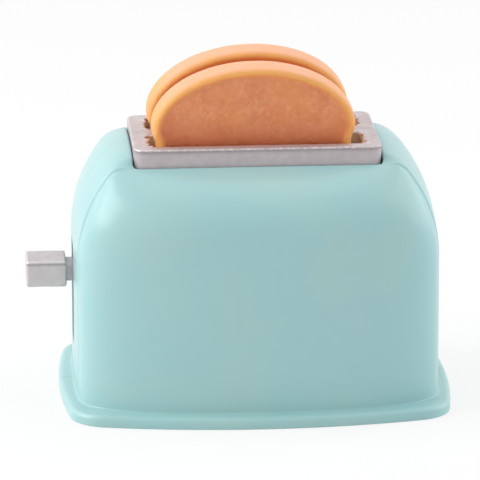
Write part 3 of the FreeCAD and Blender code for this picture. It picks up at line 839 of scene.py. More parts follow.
@dataclass
class ShellHalf:
    """One half of the mint casing: body wall, roof lip and its half of the flange."""

    form: BodyForm = field(default_factory=BodyForm)
    flange: FlangeForm = field(default_factory=FlangeForm)
    opening_x: float = 28.42
    opening_y: float = 16.68
    opening_corner: float = 1.8
    lip_round: float = 0.45
    wall: float = 1.8
    recess_inset: float = 0.9
    recess_top: float = 2.2
    slot_half: float = 4.1
    slot_low: float = 11.5
    slot_high: float = 35.6
    slot_corner: float = 1.0
    rim_bevel: float = 0.2
    rim_side: float = -35.0
    rim_turn: float = math.radians(50)
    rim_reach: float = 0.1
    split_height: float = 36.6
    seam_round: float = 0.16
    crease_width: float = 0.65
    crease_steps: int = 6
    crease_turn: float = math.radians(76)
    end_flat: float = 0.75
    end_flat_top: float = 32.0
    end_flat_fade: float = 20.0
    droop_start: float = 13.9
    droop_width: float = 2.7
    droop_length: float = 5.4
    droop_lead: float = 0.6
    droop_depth: float = FRONT_DROOP
    band_columns: int = 22
    face_columns: int = 44
    dome_rows: int = 40
    eye_height: float = 25.0
    eye_depth: float = 8.0
    roof_probe: float = 32.0
    plan_points: int = 4000
    slot_column: int = 6
    slot_margin: float = 1.5
    foot_rows: int = 6
    side_rows: int = 12
    face_spacing: float = 0.9
    spread_start: float = 16.0
    spread_length: float = 12.0

    def band_places(self) -> Points:
        """Space the end band's columns, with one at the edge of the lever's slot.

        Returns:
            Distances from the seam.
        """
        seam = [0.0, 0.3 * self.seam_round, self.seam_round]
        inner = np.linspace(self.seam_round, self.slot_half - self.slot_corner, 5)[1:]
        outer = np.linspace(self.slot_half + 1.0, self.form.band_half, self.band_columns)
        return np.concatenate([seam, inner, outer])

    def wall_levels(self) -> Points:
        """Space the upright rows, with rows along the round corners of the lever's slot.

        Returns:
            Heights from the flange to the dome.
        """
        low, high, corner = self.slot_low, self.slot_high, self.slot_corner
        turns = np.radians([0, 30, 60, 90])
        lower = low + corner * (1 - np.cos(turns))
        upper = high - corner * (1 - np.cos(turns[::-1]))
        start = self.flange.height + self.flange.foot_fillet
        side = (low + corner + self.slot_margin, high - corner - self.slot_margin)
        return np.concatenate([
            np.linspace(start, low - 0.5, self.foot_rows), [low - 0.2], lower,
            np.linspace(*side, self.side_rows), upper, [high + 0.3, self.split_height],
        ])

    def corner_y(self, x: Points) -> Points:
        """Find the half depth of the lip's outer edge.

        Args:
            x: Places along it.

        Returns:
            The half depths.
        """
        radius = self.opening_corner + self.lip_round
        centre = self.opening_x - self.opening_corner
        bulge = np.sqrt(np.maximum(radius ** 2 - np.maximum(np.abs(x) - centre, 0) ** 2, 0))
        return self.opening_y - self.opening_corner + bulge

    def columns(self, outside: Callable[[Points], Points], plan: Points, lips: Points,
                eyes: Points) -> Points:
        """Make the columns of the wall and dome, from the flange to the lip.

        Args:
            outside: Method that says how far points lie outside.
            plan: Outward directions of the upright rows, as points of the plan.
            lips: Plan points on the lip.
            eyes: Points inside from which the dome is seen.

        Returns:
            Points by column and row.
        """
        levels = self.wall_levels()
        upright = np.zeros((len(plan), len(levels), 3))
        upright[..., :2] = plan[:, None, :]
        upright[..., 2] = levels[None, :]
        start = upright.copy()
        start[..., 0] = eyes[:, None, 0]
        start[..., 1] = eyes[:, None, 1]
        upright = self.form.reach(outside, start, upright)
        foot = np.concatenate([lips, np.full((len(lips), 1), self.eye_height)], 1)
        above = foot + np.array([0, 0, self.roof_probe])
        top = self.form.reach(outside, foot, above)
        base = upright[:, -1, :]
        turns = np.linspace(0, math.pi / 2, self.dome_rows + 1)[1:]
        toward = (eyes[:, None, :] + (base - eyes)[:, None, :] * np.cos(turns)[None, :, None]
                  + (top - eyes)[:, None, :] * np.sin(turns)[None, :, None])
        dome = self.form.reach(outside, np.broadcast_to(eyes[:, None, :], toward.shape), toward)
        return np.concatenate([upright, dome], 1)

    def band_side(self) -> Points:
        """Make the columns of the right end band, from the seam to its edge.

        Returns:
            Points by column and row.
        """
        places = self.band_places()
        x = np.full(len(places), self.form.half_length)
        plan = np.stack([x, -places], 1)
        radius = self.opening_corner + self.lip_round
        past = np.maximum(places - self.opening_y + self.opening_corner, 0)
        lip_x = self.opening_x - self.opening_corner + np.sqrt(radius ** 2 - past ** 2)
        lips = np.stack([lip_x, -places], 1)
        eyes = np.stack([np.zeros(len(places)), -places, np.full(len(places), self.eye_height)], 1)
        return self.droop(self.columns(self.form.band, plan, lips, eyes))

    def droop(self, made: Points) -> Points:
        """Let the end band fall to the faces' height at the corner of the opening.

        Args:
            made: The band's points.

        Returns:
            The fallen points.
        """
        share = smooth_step((np.abs(made[..., 1]) - self.droop_start) / self.droop_width)
        past = np.abs(made[..., 0]) - self.opening_x + self.droop_lead
        share *= 1 - smooth_step(past / self.droop_length)
        fallen = made.copy()
        fallen[..., 2] -= self.droop_depth * share
        return fallen

    def crease_side(self) -> Points:
        """Make the columns that step down from the right end band to the front face.

        Returns:
            Points by column and row.
        """
        shares = np.linspace(0, 1, self.crease_steps + 2)[1:-1]
        places = self.form.band_half + self.crease_width * shares
        radius = self.opening_corner + self.lip_round
        centre = np.array([self.opening_x, self.opening_y]) - self.opening_corner
        start = math.asin((self.form.band_half - centre[1]) / radius)
        turns = start + (self.crease_turn - start) * shares
        lips = np.stack([centre[0] + radius * np.cos(turns),
                         -centre[1] - radius * np.sin(turns)], 1)
        plan = np.stack([np.full(len(places), self.form.half_length), -places], 1)
        eyes = np.stack([np.zeros(len(places)), -places, np.full(len(places), self.eye_height)], 1)
        high = self.droop(self.columns(self.form.band, plan, lips, eyes))
        low = self.columns(self.form.pillow, plan, lips, eyes)
        return high + (low - high) * smooth_step(shares)[:, None, None]

    def face_plan(self) -> Points:
        """Space the plan of the right half of the front face, closer near the band.

        Returns:
            X and Y from the band to the middle.
        """
        form = self.form
        half = form.half_length - form.band_crown - form.step_low
        reach = form.half_depth - form.band_half
        turns = np.linspace(0, math.pi / 2, self.plan_points)
        x = half * np.cos(turns) ** (2 / form.power)
        y = form.band_half + reach * np.sin(turns) ** (2 / form.power)
        length = np.concatenate([[0], np.cumsum(np.hypot(np.diff(x), np.diff(y)))])
        spread = smooth_step((length - self.spread_start) / self.spread_length)
        weight = 1 / (self.face_spacing + self.face_spacing * spread)
        share = np.concatenate([[0], np.cumsum(weight[1:] * np.diff(length))])
        start = np.interp(self.crease_width, y - form.band_half, share)
        wanted = np.linspace(start, share[-1], self.face_columns)
        return np.stack([np.interp(wanted, share, x), -np.interp(wanted, share, y)], 1)

    def face_side(self) -> Points:
        """Make the columns of the right half of the front face.

        Returns:
            Points by column and row.
        """
        plan = self.face_plan()
        share = plan[:, 0] / plan[0, 0]
        radius = self.opening_corner + self.lip_round
        lip_x = (self.opening_x - self.opening_corner + radius * math.cos(self.crease_turn)) * share
        lips = np.stack([lip_x, -self.corner_y(lip_x)], 1)
        eye_y = self.eye_depth + (self.form.band_half - self.eye_depth) * share ** 2
        eyes = np.stack([np.zeros(len(plan)), -eye_y, np.full(len(plan), self.eye_height)], 1)
        return self.columns(self.form.pillow, plan, lips, eyes)

    def outer(self) -> Points:
        """Join band, crease and face columns.

        Returns:
            Points by column and row, from the left seam to the right seam.
        """
        right = np.concatenate([self.band_side(), self.crease_side(), self.face_side()])
        left = right[:-1] * np.array([-1, 1, 1])
        return np.concatenate([left, right[::-1]])

    @staticmethod
    def normals(grid: Points) -> Points:
        """Find the outward normals of a grid.

        Args:
            grid: Points by column and row.

        Returns:
            The unit normals.
        """
        across = np.gradient(grid, axis=0)
        along = np.gradient(grid, axis=1)
        made = np.cross(across, along)
        made /= np.maximum(np.linalg.norm(made, axis=-1), 1e-9)[..., None]
        return made

    def bend_slot(self, grid: Points) -> None:
        """Move the slot's edge column outward beside the slot, round its corners.

        Args:
            grid: Points by column and row, which are changed.
        """
        heights = grid[self.slot_column, :, 2]
        inside = np.minimum(heights - self.slot_low, self.slot_high - heights)
        depth = np.clip(self.slot_corner - inside, 0, self.slot_corner)
        edge = self.slot_half - self.slot_corner + np.sqrt(self.slot_corner ** 2 - depth ** 2)
        moved = inside >= -1e-6
        for column in (self.slot_column, len(grid) - 1 - self.slot_column):
            grid[column, moved, 1] = -edge[moved]

    def loop_rows(self) -> tuple[Points, int, int]:
        """Make the closed loops of the shell's section, one for each column.

        Returns:
            Points by column and row, the first wall row and the number of wall and dome rows.
        """
        wall = self.outer()
        facing = self.normals(wall)
        for column in (0, 1, 2):
            facing[column] = facing[3]
            facing[-1 - column] = facing[-4]
        facing[..., 2] = np.where(wall[..., 2] < self.form.shoulder_start, 0, facing[..., 2])
        facing /= np.linalg.norm(facing, axis=-1)[..., None]
        places = np.abs(wall[..., 1])
        hold = np.maximum(self.seam_round - places, 0)
        sunk = self.seam_round - np.sqrt(self.seam_round ** 2 - hold ** 2)
        inner = wall - facing * self.wall
        base = wall[:, 0, :2].copy()
        self.flatten_ends(wall)
        outer = wall - facing * sunk[..., None]
        self.bend_slot(outer)
        self.bend_slot(inner)
        plan = wall[:, 0, :2]
        side = facing[:, 0, :2]
        edge, out = self.flange.below(plan)
        rows = [self.level(base - side * self.recess_inset, 0.0)]
        rows += self.flange_rows(plan, side, edge, out, sunk[:, 0])
        top = outer[:, -1, :]
        lip = self.lip_rows(top, facing[:, -1, :])
        ledge = [self.level(base - side * self.wall, self.recess_top),
                 self.level(base - side * self.recess_inset, self.recess_top)]
        parts = [np.stack(rows, 1), outer, lip, inner[:, ::-1, :], np.stack(ledge, 1)]
        return np.concatenate(parts, 1), len(rows), outer.shape[1]

    def flatten_ends(self, wall: Points) -> None:
        """Draw the upright ends in towards a flat face, most in the middle.

        Args:
            wall: Points by column and row, which are changed.
        """
        share = np.clip(1 - (wall[..., 1] / self.form.band_half) ** 2, 0, 1)
        share *= 1 - smooth_step((wall[..., 2] - self.end_flat_top) / self.end_flat_fade)
        share *= np.abs(wall[..., 0]) > self.opening_x
        wall[..., 0] -= np.sign(wall[..., 0]) * self.end_flat * share

    @staticmethod
    def level(plan: Points, height: object) -> Points:
        """Raise plan points to a height."""
        return np.concatenate([plan, np.broadcast_to(height, (len(plan),))[:, None]], 1)

    def flange_rows(self, plan: Points, side: Points, edge: Points, out: Points,
                    sunk: Points) -> list:
        """Make the rows of the underside, the flange and the fillet at the body's foot.

        Args:
            plan: Body outline.
            side: Outward normals of the body outline.
            edge: Flange outline.
            out: Outward normals of the flange outline.
            sunk: How far each column is drawn in at the seam.

        Returns:
            Rows of points, from the flange's lower edge to the foot of the wall.
        """
        low, high, fillet = self.flange.bottom_round, self.flange.top_round, self.flange.foot_fillet
        height = self.flange.height
        rows = []
        for turn in np.radians([0, 45, 90]):
            inset = low * (1 - math.sin(turn)) + sunk
            rows.append(self.level(edge - out * inset[:, None], low * (1 - math.cos(turn))))
        for turn in np.radians([0, 15, 30, 45, 60, 75, 90]):
            inset = high * (1 - math.cos(turn)) + sunk
            rows.append(self.level(edge - out * inset[:, None],
                                   height - high + high * math.sin(turn) - sunk * math.sin(turn)))
        inner_edge = edge - out * high
        foot = plan + side * fillet
        for share in (0.35, 0.7):
            rows.append(self.level(inner_edge * (1 - share) + foot * share, height - sunk))
        for turn in np.radians([0, 30, 60]):
            away = fillet * (1 - math.sin(turn)) - sunk
            rise = fillet * (1 - math.cos(turn))
            rows.append(self.level(plan + side * away[:, None], height + rise))
        return rows

    def lip_rows(self, top: Points, facing: Points) -> Points:
        """Round the lip from the roof down into the opening.

        Args:
            top: Last points of the roof.
            facing: Their outward normals.

        Returns:
            Points by column and row.
        """
        centre_x = np.clip(top[:, 0], -self.opening_x + self.opening_corner,
                           self.opening_x - self.opening_corner)
        centre_y = np.maximum(top[:, 1], -self.opening_y + self.opening_corner)
        inward = np.stack([centre_x - top[:, 0], centre_y - top[:, 1], np.zeros(len(top))], 1)
        inward /= np.maximum(np.linalg.norm(inward, axis=1), 1e-9)[:, None]
        middle = top - facing * self.lip_round
        rows = []
        for turn in np.radians([22.5, 45, 67.5, 90]):
            toward = facing * math.cos(turn) + inward * math.sin(turn)
            rows.append(middle + self.lip_round * toward)
        return np.stack(rows, 1)

    def faces(self, shape: tuple, first: int, rows: int) -> list:
        """List the faces of the loops, with the lever's slot left open and its rim closed.

        Args:
            shape: Numbers of columns and rows.
            first: First wall row.
            rows: Number of wall and dome rows.

        Returns:
            Point numbers of each face.
        """
        columns, count = shape
        levels = self.wall_levels()
        low = first + int(np.argmin(np.abs(levels - self.slot_low)))
        high = first + int(np.argmin(np.abs(levels - self.slot_high)))
        mirror = 2 * first + 2 * rows - 1 + 4

        def point(column: int, row: int) -> int:
            """Return the number of a point."""
            return column * count + row % count

        made = []
        for column in range(columns - 1):
            for row in range(count):
                in_slot = low <= row < high or low <= mirror - row - 1 < high
                if column < self.slot_column and in_slot:
                    continue
                made.append((point(column, row), point(column + 1, row),
                             point(column + 1, row + 1), point(column, row + 1)))
        edge = self.slot_column
        for row in range(low, high):
            made.append((point(edge, row), point(edge, row + 1),
                         point(edge, mirror - row - 1), point(edge, mirror - row)))
        for row in (low, high):
            for column in range(self.slot_column):
                made.append((point(column, row), point(column + 1, row),
                             point(column + 1, mirror - row), point(column, mirror - row)))
        lower = [point(0, row) for row in range(low + 1)]
        lower += [point(0, row) for row in range(mirror - low, count)]
        upper = [point(0, row) for row in range(high, mirror - high + 1)]
        made += [tuple(lower), tuple(upper)]
        made.append(tuple(point(columns - 1, row) for row in range(count)))
        return made

    def build(self, name: str, side: int, finish: bpy.types.Material,
              node: str) -> bpy.types.Object:
        """Make one half.

        Args:
            name: Name of the piece.
            side: 1 for the front half, -1 for the rear half.
            finish: Material of the piece.
            node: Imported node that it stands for.

        Returns:
            The piece.
        """
        loop, first, rows = self.loop_rows()
        loop[0, :, 1] = 0.0
        loop[-1, :, 1] = 0.0
        faces = self.faces(loop.shape[:2], first, rows)
        points = loop.reshape(-1, 3) * np.array([1, side, 1])
        piece = place_mesh(name, points, faces, finish, Body.CASING, Slot.MINT, node)
        self.bevel_rim(piece)
        smooth_piece(piece)
        return piece

    def on_rim(self, at: Vector) -> bool:
        """Tell whether a point lies on the rim of the lever's slot.

        Args:
            at: The point in millimetres.

        Returns:
            Whether it does.
        """
        if at.x >= self.rim_side:
            return False
        beside = self.slot_low - self.rim_reach < at.z < self.slot_high + self.rim_reach
        beside = beside and 1e-3 < abs(at.y) < self.slot_half + self.rim_reach
        level = min(abs(at.z - self.slot_low), abs(at.z - self.slot_high)) < self.rim_reach / 2
        return beside or level and abs(at.y) < self.slot_half

    def bevel_rim(self, piece: bpy.types.Object) -> None:
        """Round the rim of the lever's slot, outside and inside.

        Args:
            piece: The shell.
        """
        shape = bmesh.new()
        shape.from_mesh(piece.data)
        bmesh.ops.recalc_face_normals(shape, faces=shape.faces)
        rim = []
        for edge in shape.edges:
            if len(edge.link_faces) != 2 or edge.calc_face_angle() <= self.rim_turn:
                continue
            if all(self.on_rim(vert.co / MM) for vert in edge.verts):
                rim.append(edge)
        bmesh.ops.bevel(shape, geom=rim, offset=self.rim_bevel * MM, segments=2, profile=0.5,
                        affect="EDGES", clamp_overlap=True)
        shape.to_mesh(piece.data)
        shape.free()


def grid_faces(columns: int, rows: int) -> list:
    """List the faces of a grid whose columns close into a ring.

    Args:
        columns: Number of columns.
        rows: Number of points in a column.

    Returns:
        Point numbers of each face.
    """
    made = []
    for column in range(columns):
        here, beside = column * rows, (column + 1) % columns * rows
        for row in range(rows - 1):
            made.append((here + row, beside + row, beside + row + 1, here + row + 1))
    return made


def joined(parts: list) -> tuple[Points, list]:
    """Join several meshes into one.

    Args:
        parts: Pairs of points and faces.

    Returns:
        All points and all faces.
    """
    faces, start = [], 0
    for points, patch in parts:
        faces += [tuple(start + k for k in face) for face in patch]
        start += len(points)
    return np.concatenate([points for points, _ in parts]), faces


def rounded_loop(half_x: float, half_y: float, corner: float, spacing: float,
                 centre_y: float = 0.0) -> tuple[Points, Points]:
    """Return points and outward normals round a rectangle with round corners.

    Args:
        half_x: Half its length.
        half_y: Half its depth.
        corner: Radius of its corners.
        spacing: Distance between points on its straight sides.
        centre_y: Y of its middle.

    Returns:
        The points and their outward normals.
    """
    points, normals = [], []
    for quarter, (sx, sy) in enumerate(((1, 1), (-1, 1), (-1, -1), (1, -1))):
        middle = np.array([sx * (half_x - corner), sy * (half_y - corner)])
        for turn in np.radians(90 * quarter + np.linspace(0, 90, 9)):
            normal = np.array([math.cos(turn), math.sin(turn)])
            points.append(middle + corner * normal)
            normals.append(normal)
        side = 2 * (half_x - corner) if quarter % 2 == 0 else 2 * (half_y - corner)
        steps = max(1, round(side / spacing))
        along = np.array([-normals[-1][1], normals[-1][0]])
        start, facing = points[-1], normals[-1]
        for step in range(1, steps):
            points.append(start + along * side * step / steps)
            normals.append(facing)
    return np.array(points) + np.array([0, centre_y]), np.array(normals)


def swept(loop: Points, normals: Points, profile: list) -> Points:
    """Carry a profile round a loop.

    Args:
        loop: X and Y of the loop.
        normals: Its outward normals.
        profile: Pairs of how far outside the loop and how high each row lies.

    Returns:
        Points by column and row.
    """
    rows = []
    for out, height in profile:
        rows.append(np.concatenate([loop + normals * out, np.full((len(loop), 1), height)], 1))
    return np.stack(rows, 1)


def arc_profile(out: float, height: float, radius: float, start: float, end: float,
                steps: int = 4) -> list:
    """Return profile pairs along an arc.

    Args:
        out: How far outside the loop its centre lies.
        height: Height of its centre.
        radius: Its radius.
        start: Angle of its first point in degrees, 0 outward and 90 upward.
        end: Angle of its last point in degrees.
        steps: Number of steps between them.

    Returns:
        Pairs of how far outside and how high.
    """
    turns = np.radians(np.linspace(start, end, steps + 1))
    return [(out + radius * math.cos(turn), height + radius * math.sin(turn)) for turn in turns]


def carry_values(piece: bpy.types.Object, name: str, values: Points) -> None:
    """Store a value on each point of a piece for its finish to read."""
    layer = piece.data.attributes.new(name, "FLOAT", "POINT")
    layer.data.foreach_set("value", np.asarray(values, np.float32))


def ripple(points: Points, size: float, seed: float, detail: int = 0) -> Points:
    """Return smooth noise from about -1 to 1 at points.

    Args:
        points: Points in millimetres.
        size: Size of the noise's features in millimetres.
        seed: Offset that makes one pattern differ from another.
        detail: Number of finer layers.

    Returns:
        One value a point.
    """
    shift = Vector((seed, -seed, 0.5 * seed))
    if detail:
        return np.array([noise.fractal(Vector(p) / size + shift, 0.6, 2.0, detail) for p in points])
    return np.array([noise.noise(Vector(p) / size + shift) for p in points])


@dataclass
class BreadSlice:
    """One slice of pretend toast: soft crust, sunken wrinkled faces and a slight tilt.

    A dent or fold is a pair of its size and its depth. The rows of the inner rim are inset,
    share of the sunk depth and rim value, and those of the side's bow are inset and share of
    the half thickness.
    """

    node: str
    body: Body
    centre_y: float
    shift: float
    tilt: float
    seed: float
    foot: float = 35.4
    shoulder: float = 64.1
    waist_drop: float = 3.2
    waist_step: float = 1.0
    dome: float = 13.9
    half_width: float = 23.1
    half_thickness: float = 4.7
    foot_round: float = 3.0
    rim_round: float = 1.35
    rim_reach: float = 2.55
    sunk: float = 0.32
    tilt_from: float = 50.0
    tilt_fade: float = 12.0
    inner_rim: tuple = ((2.25, 0.72, 0.05), (1.95, 0.35, 0.14), (1.65, 0.08, 0.24))
    rim_value: float = 0.30
    crust_value: float = 0.62
    side_bow: tuple = ((-0.06, -0.45), (-0.1, 0.0))
    wide_dent: tuple = (9.0, 0.12)
    small_dent: tuple = (2.6, 0.12)
    fine_dent: tuple = (1.1, 0.03)
    fold: tuple = (5.5, 0.18)
    fold_sharpness: float = 9.0
    fold_patch: float = 11.0
    patch_gain: float = 2.5
    foot_steps: int = 20
    waist_steps: int = 12
    dome_steps: int = 120
    rim_steps: int = 8
    columns: int = 260
    rings: int = 26
    spine: float = 13.0
    spine_height: float = 58.0

    def outline(self) -> tuple[Points, Points]:
        """Lay out the slice's outline.

        Returns:
            Evenly spaced points and their outward normals.
        """
        waist = self.half_width - self.waist_step
        foot = self.foot + self.foot_round
        path = [(0.0, self.foot)]
        for turn in np.radians(np.linspace(-90, 0, self.foot_steps)):
            path.append((waist - self.foot_round + self.foot_round * math.cos(turn),
                         foot + self.foot_round * math.sin(turn)))
        low = self.shoulder - self.waist_drop
        for share in np.linspace(0, 1, self.waist_steps):
            step = self.waist_step * float(smooth_step(np.array(share)))
            path.append((waist + step, low + self.waist_drop * share))
        for turn in np.radians(np.linspace(0, 90, self.dome_steps))[1:]:
            path.append((self.half_width * math.cos(turn),
                         self.shoulder + self.dome * math.sin(turn)))
        right = np.array(path)
        left = right[-2:0:-1] * np.array([-1, 1])
        closed = np.concatenate([right, left, right[:1]])
        length = np.concatenate([[0], np.cumsum(np.hypot(*np.diff(closed, axis=0).T))])
        wanted = np.linspace(0, length[-1], self.columns + 1)[:-1]
        points = np.stack([np.interp(wanted, length, closed[:, k]) for k in (0, 1)], 1)
        along = np.roll(points, -1, 0) - np.roll(points, 1, 0)
        normals = np.stack([along[:, 1], -along[:, 0]], 1)
        return points, normals / np.linalg.norm(normals, axis=1)[:, None]

    def profile(self) -> list:
        """Lay out the section of the crust, from the front face to the rear face.

        Returns:
            Inset, depth and rim value of each row.
        """
        half, radius = self.half_thickness, self.rim_round
        front = [(self.rim_reach, self.sunk - half, 0.0)]
        front += [(inset, share * self.sunk - half, rim) for inset, share, rim in self.inner_rim]
        for turn in np.radians(np.linspace(90, 0, self.rim_steps)):
            value = self.rim_value + self.crust_value * (1 - turn / (math.pi / 2))
            front.append((radius * (1 - math.cos(turn)), radius - half - radius * math.sin(turn),
                          value))
        front += [(inset, share * half, 1.0) for inset, share in self.side_bow]
        rear = [(inset, -depth, rim) for inset, depth, rim in front[-2::-1]]
        return front + rear

    def build(self, finish: bpy.types.Material) -> bpy.types.Object:
        """Make the slice.

        Args:
            finish: Material of the slice.

        Returns:
            The piece.
        """
        outline, normals = self.outline()
        profile = self.profile()
        rim_rows = np.stack([outline - normals * inset for inset, _, _ in profile], 1)
        depths = np.array([depth for _, depth, _ in profile])
        rims = np.array([rim for _, _, rim in profile])
        inner = rim_rows[:, 0]
        spine = np.stack([np.clip(inner[:, 0], -self.spine, self.spine) * 0.9,
                          np.full(len(inner), self.spine_height)], 1)
        shares = np.linspace(1, 0, self.rings + 1)[:-1]
        face = np.stack([inner + (spine - inner) * share for share in shares], 1)
        plan = np.concatenate([face, rim_rows, face[:, ::-1]], 1)
        sink = np.full(self.rings, depths[0])
        depth = np.concatenate([sink, depths, -sink])
        value = np.concatenate([np.zeros(self.rings), rims, np.zeros(self.rings)])
        rows = plan.shape[1]
        points = np.zeros((len(outline), rows, 3))
        points[..., 0] = plan[..., 0]
        points[..., 1] = depth[None, :]
        points[..., 2] = plan[..., 1]
        flat = points.reshape(-1, 3)
        side = np.repeat(np.sign(depth)[None, :], len(outline), 0).reshape(-1)
        shown = np.repeat((1 - value)[None, :], len(outline), 0).reshape(-1)
        self.wrinkle(flat, side, shown)
        lift = smooth_step((flat[:, 2] - self.tilt_from) / self.tilt_fade)
        flat[:, 2] += math.tan(self.tilt) * flat[:, 0] * lift
        flat[:, 0] += self.shift
        flat[:, 1] += self.centre_y
        piece = place_mesh(self.node + "_toast", flat, grid_faces(len(outline), rows), finish,
                           self.body, Slot.TOAST, self.node)
        carry_values(piece, "rim", np.repeat(value[None, :], len(outline), 0).reshape(-1))
        weld(piece, 0.01)
        smooth_piece(piece, 70.0)
        return piece

    def wrinkle(self, points: Points, side: Points, shown: Points) -> None:
        """Dent the faces and the crust a little.

        Args:
            points: The slice's points, which are changed.
            side: -1 on the front half, 1 on the rear half.
            shown: 1 on the faces and 0 on the crust.
        """
        wide = ripple(points, self.wide_dent[0], self.seed)
        small = ripple(points, self.small_dent[0], self.seed + 7)
        crease = np.abs(ripple(points, self.fold[0], self.seed + 3))
        fold = np.clip(1 - crease * self.fold_sharpness, 0, 1)
        patch = np.clip(ripple(points, self.fold_patch, self.seed + 13) * self.patch_gain, 0, 1)
        fine = ripple(points, self.fine_dent[0], self.seed + 21)
        out = wide * self.wide_dent[1] + small * self.small_dent[1]
        out = out + fold * patch * self.fold[1] + fine * self.fine_dent[1]
        points[:, 1] += side * out * shown
        points[:, 2] += (small * 0.05 + fine * 0.02) * (1 - shown)


@dataclass
class SlotPlate:
    """Silver plate with two bread slots, their skirts and the tabs that hold it down.

    The pairs for wear, shade and lumps say how far from their edge they start and over what
    length they fade in. The two fill pairs are for X and Y.
    """

    half_length: float = 28.15
    half_depth: float = 16.45
    top: float = 60.8
    bottom: float = 54.2
    corner: float = 2.5
    edge_round: float = 0.42
    slot_half_length: float = 25.2
    slot_half_width: float = 5.2
    slot_y: float = 8.2
    slot_corner: float = 1.3
    slot_round: float = 0.35
    skirt_wall: float = 1.4
    skirt_foot: float = 49.6
    tab_thickness: float = 1.8
    tab_half_width: float = 12.5
    rod_x: float = 30.6
    socket_radius: float = 3.2
    groove_depth: float = 0.12
    groove_half: float = 0.16
    lump: float = 0.2
    left_reach: float = 1.3
    right_reach: float = 1.1
    wall_levels: tuple = (56.0, 58.0, 59.2, 59.8, 60.05, 60.22)
    slot_levels: tuple = (60.2, 59.9, 59.2, 58.0, 55.5, 52.0)
    low_round: float = 0.15
    bore_radius: float = 1.6
    socket_step: float = 0.2
    edge_spacing: float = 0.9
    slot_spacing: float = 0.7
    flat_edge: float = 0.3
    uneven_size: float = 6.0
    unevenness: float = 0.03
    fill_half: tuple = (27.2, 15.6)
    fill_cell: tuple = (0.85, 0.8)
    fill_margin: float = 0.9
    fill_gap: float = 0.34
    groove_reach: float = 27.3
    groove_cell: float = 0.6
    groove_margin: float = 0.35
    wear_reach: float = 0.9
    wear_drop: tuple = (1.0, 0.8)
    shade_drop: tuple = (1.2, 0.5)
    touch: float = 0.05
    groove_drop: float = 0.3
    lump_inside: tuple = (1.6, 1.2)
    lump_outside: tuple = (1.0, 0.8)
    lump_beside: tuple = (0.9, 0.8)
    lump_below: tuple = (2.5, 1.2)
    lump_size: float = 1.5
    lump_rough: float = 0.9
    lump_rise: float = 0.25
    lump_swell: float = 0.6
    lump_wear: float = 1.6

    def outer(self) -> Points:
        """Make the outer wall, from the underside to the top.

        Returns:
            Points by column and row.
        """
        loop, normals = rounded_loop(self.half_length, self.half_depth, self.corner,
                                     self.edge_spacing)
        radius, low = self.edge_round, self.low_round
        profile = [(-0.5, self.bottom), (-low, self.bottom)]
        profile += arc_profile(-low, self.bottom + low, low, -45, 0, 1)
        profile += [(0, z) for z in self.wall_levels]
        profile += arc_profile(-radius, self.top - radius, radius, 0, 90, 5)
        profile += [(-radius - self.flat_edge, self.top)]
        return swept(loop, normals, profile)

    def slot(self, centre_y: float) -> Points:
        """Make one slot, from the top down its wall and up the outside of its skirt.

        Args:
            centre_y: Y of its middle.

        Returns:
            Points by column and row.
        """
        half_x, half_y = self.slot_half_length, self.slot_half_width
        loop, normals = rounded_loop(half_x, half_y, self.slot_corner, self.slot_spacing, centre_y)
        radius, wall, foot = self.slot_round, self.skirt_wall, self.skirt_foot
        profile = [(radius + self.flat_edge, self.top)]
        profile += arc_profile(radius, self.top - radius, radius, 90, 180, 4)
        profile += [(0, z) for z in self.slot_levels]
        profile += [(0, foot), (wall, foot), (wall, self.bottom)]
        return swept(loop, normals, profile)

    def flat_part(self, outside: Points, slots: list, height: float,
                  fine: bool) -> tuple[Points, list]:
        """Fill the flat part between the outer loop and the two slots.

        Args:
            outside: The outer loop.
            slots: The loops of the slots.
            height: Height of the flat part.
            fine: Whether to add points between the loops and the groove along the middle.

        Returns:
            Points and triangles.
        """
        loops = [outside[:, :2]] + [loop[:, :2] for loop in slots]
        edges, start = [], 0
        for loop in loops:
            count = len(loop)
            edges += [(start + k, start + (k + 1) % count) for k in range(count)]
            start += count
        plan = np.concatenate(loops)
        if fine:
            plan = np.concatenate([plan, self.between(plan)])
        made = geometry.delaunay_2d_cdt([Vector(p) for p in plan], edges, [], 1, 1e-5)
        points = np.array([(p.x, p.y, height) for p in made[0]])
        if fine:
            middle = np.abs(points[:, 1]) < 0.01
            points[middle, 2] -= self.groove_depth
            inside = np.ones(len(points), bool)
            inside[:start] = False
            points[inside, 2] += self.unevenness * ripple(points[inside], self.uneven_size, 2.0)
        half_x = max(abs(slots[0][:, 0]))
        half_y = (max(slots[0][:, 1]) - min(slots[0][:, 1])) / 2
        bend = self.slot_corner + half_x - self.slot_half_length
        reach = min(half_y, self.slot_half_width + self.skirt_wall)
        faces = []
        for face in made[2]:
            middle = points[list(face)].mean(0)
            along, across = abs(middle[0]), abs(abs(middle[1]) - self.slot_y)
            past = math.hypot(max(along - half_x + bend, 0), max(across - half_y + bend, 0))
            if along >= half_x or across >= reach or past > bend:
                faces.append(tuple(face))
        return points, faces

    def between(self, loops: Points) -> Points:
        """Spread points over the top between the loops, with rows along the groove.

        Args:
            loops: Points of the outer loop and of the slots.

        Returns:
            X and Y of the points.
        """
        columns, rows = (np.arange(-half, half + 0.1, cell)
                         for half, cell in zip(self.fill_half, self.fill_cell))
        made = [(x, y) for x in columns for y in rows]
        for x in np.arange(-self.groove_reach, self.groove_reach + 0.1, self.groove_cell):
            made += [(x, y) for y in (-self.groove_half, 0.0, self.groove_half)]
        kept = []
        for x, y in made:
            across = abs(abs(y) - self.slot_y)
            in_slot = abs(x) < self.slot_half_length + self.fill_margin
            in_slot = in_slot and across < self.slot_half_width + self.fill_margin
            near = np.min(np.hypot(loops[:, 0] - x, loops[:, 1] - y)) < self.fill_gap
            row = abs(y) <= self.groove_half + 1e-6
            crowded = not row and abs(y) < self.groove_half + self.groove_margin
            if not (in_slot or near or crowded):
                kept.append((x, y))
        return np.array(kept)

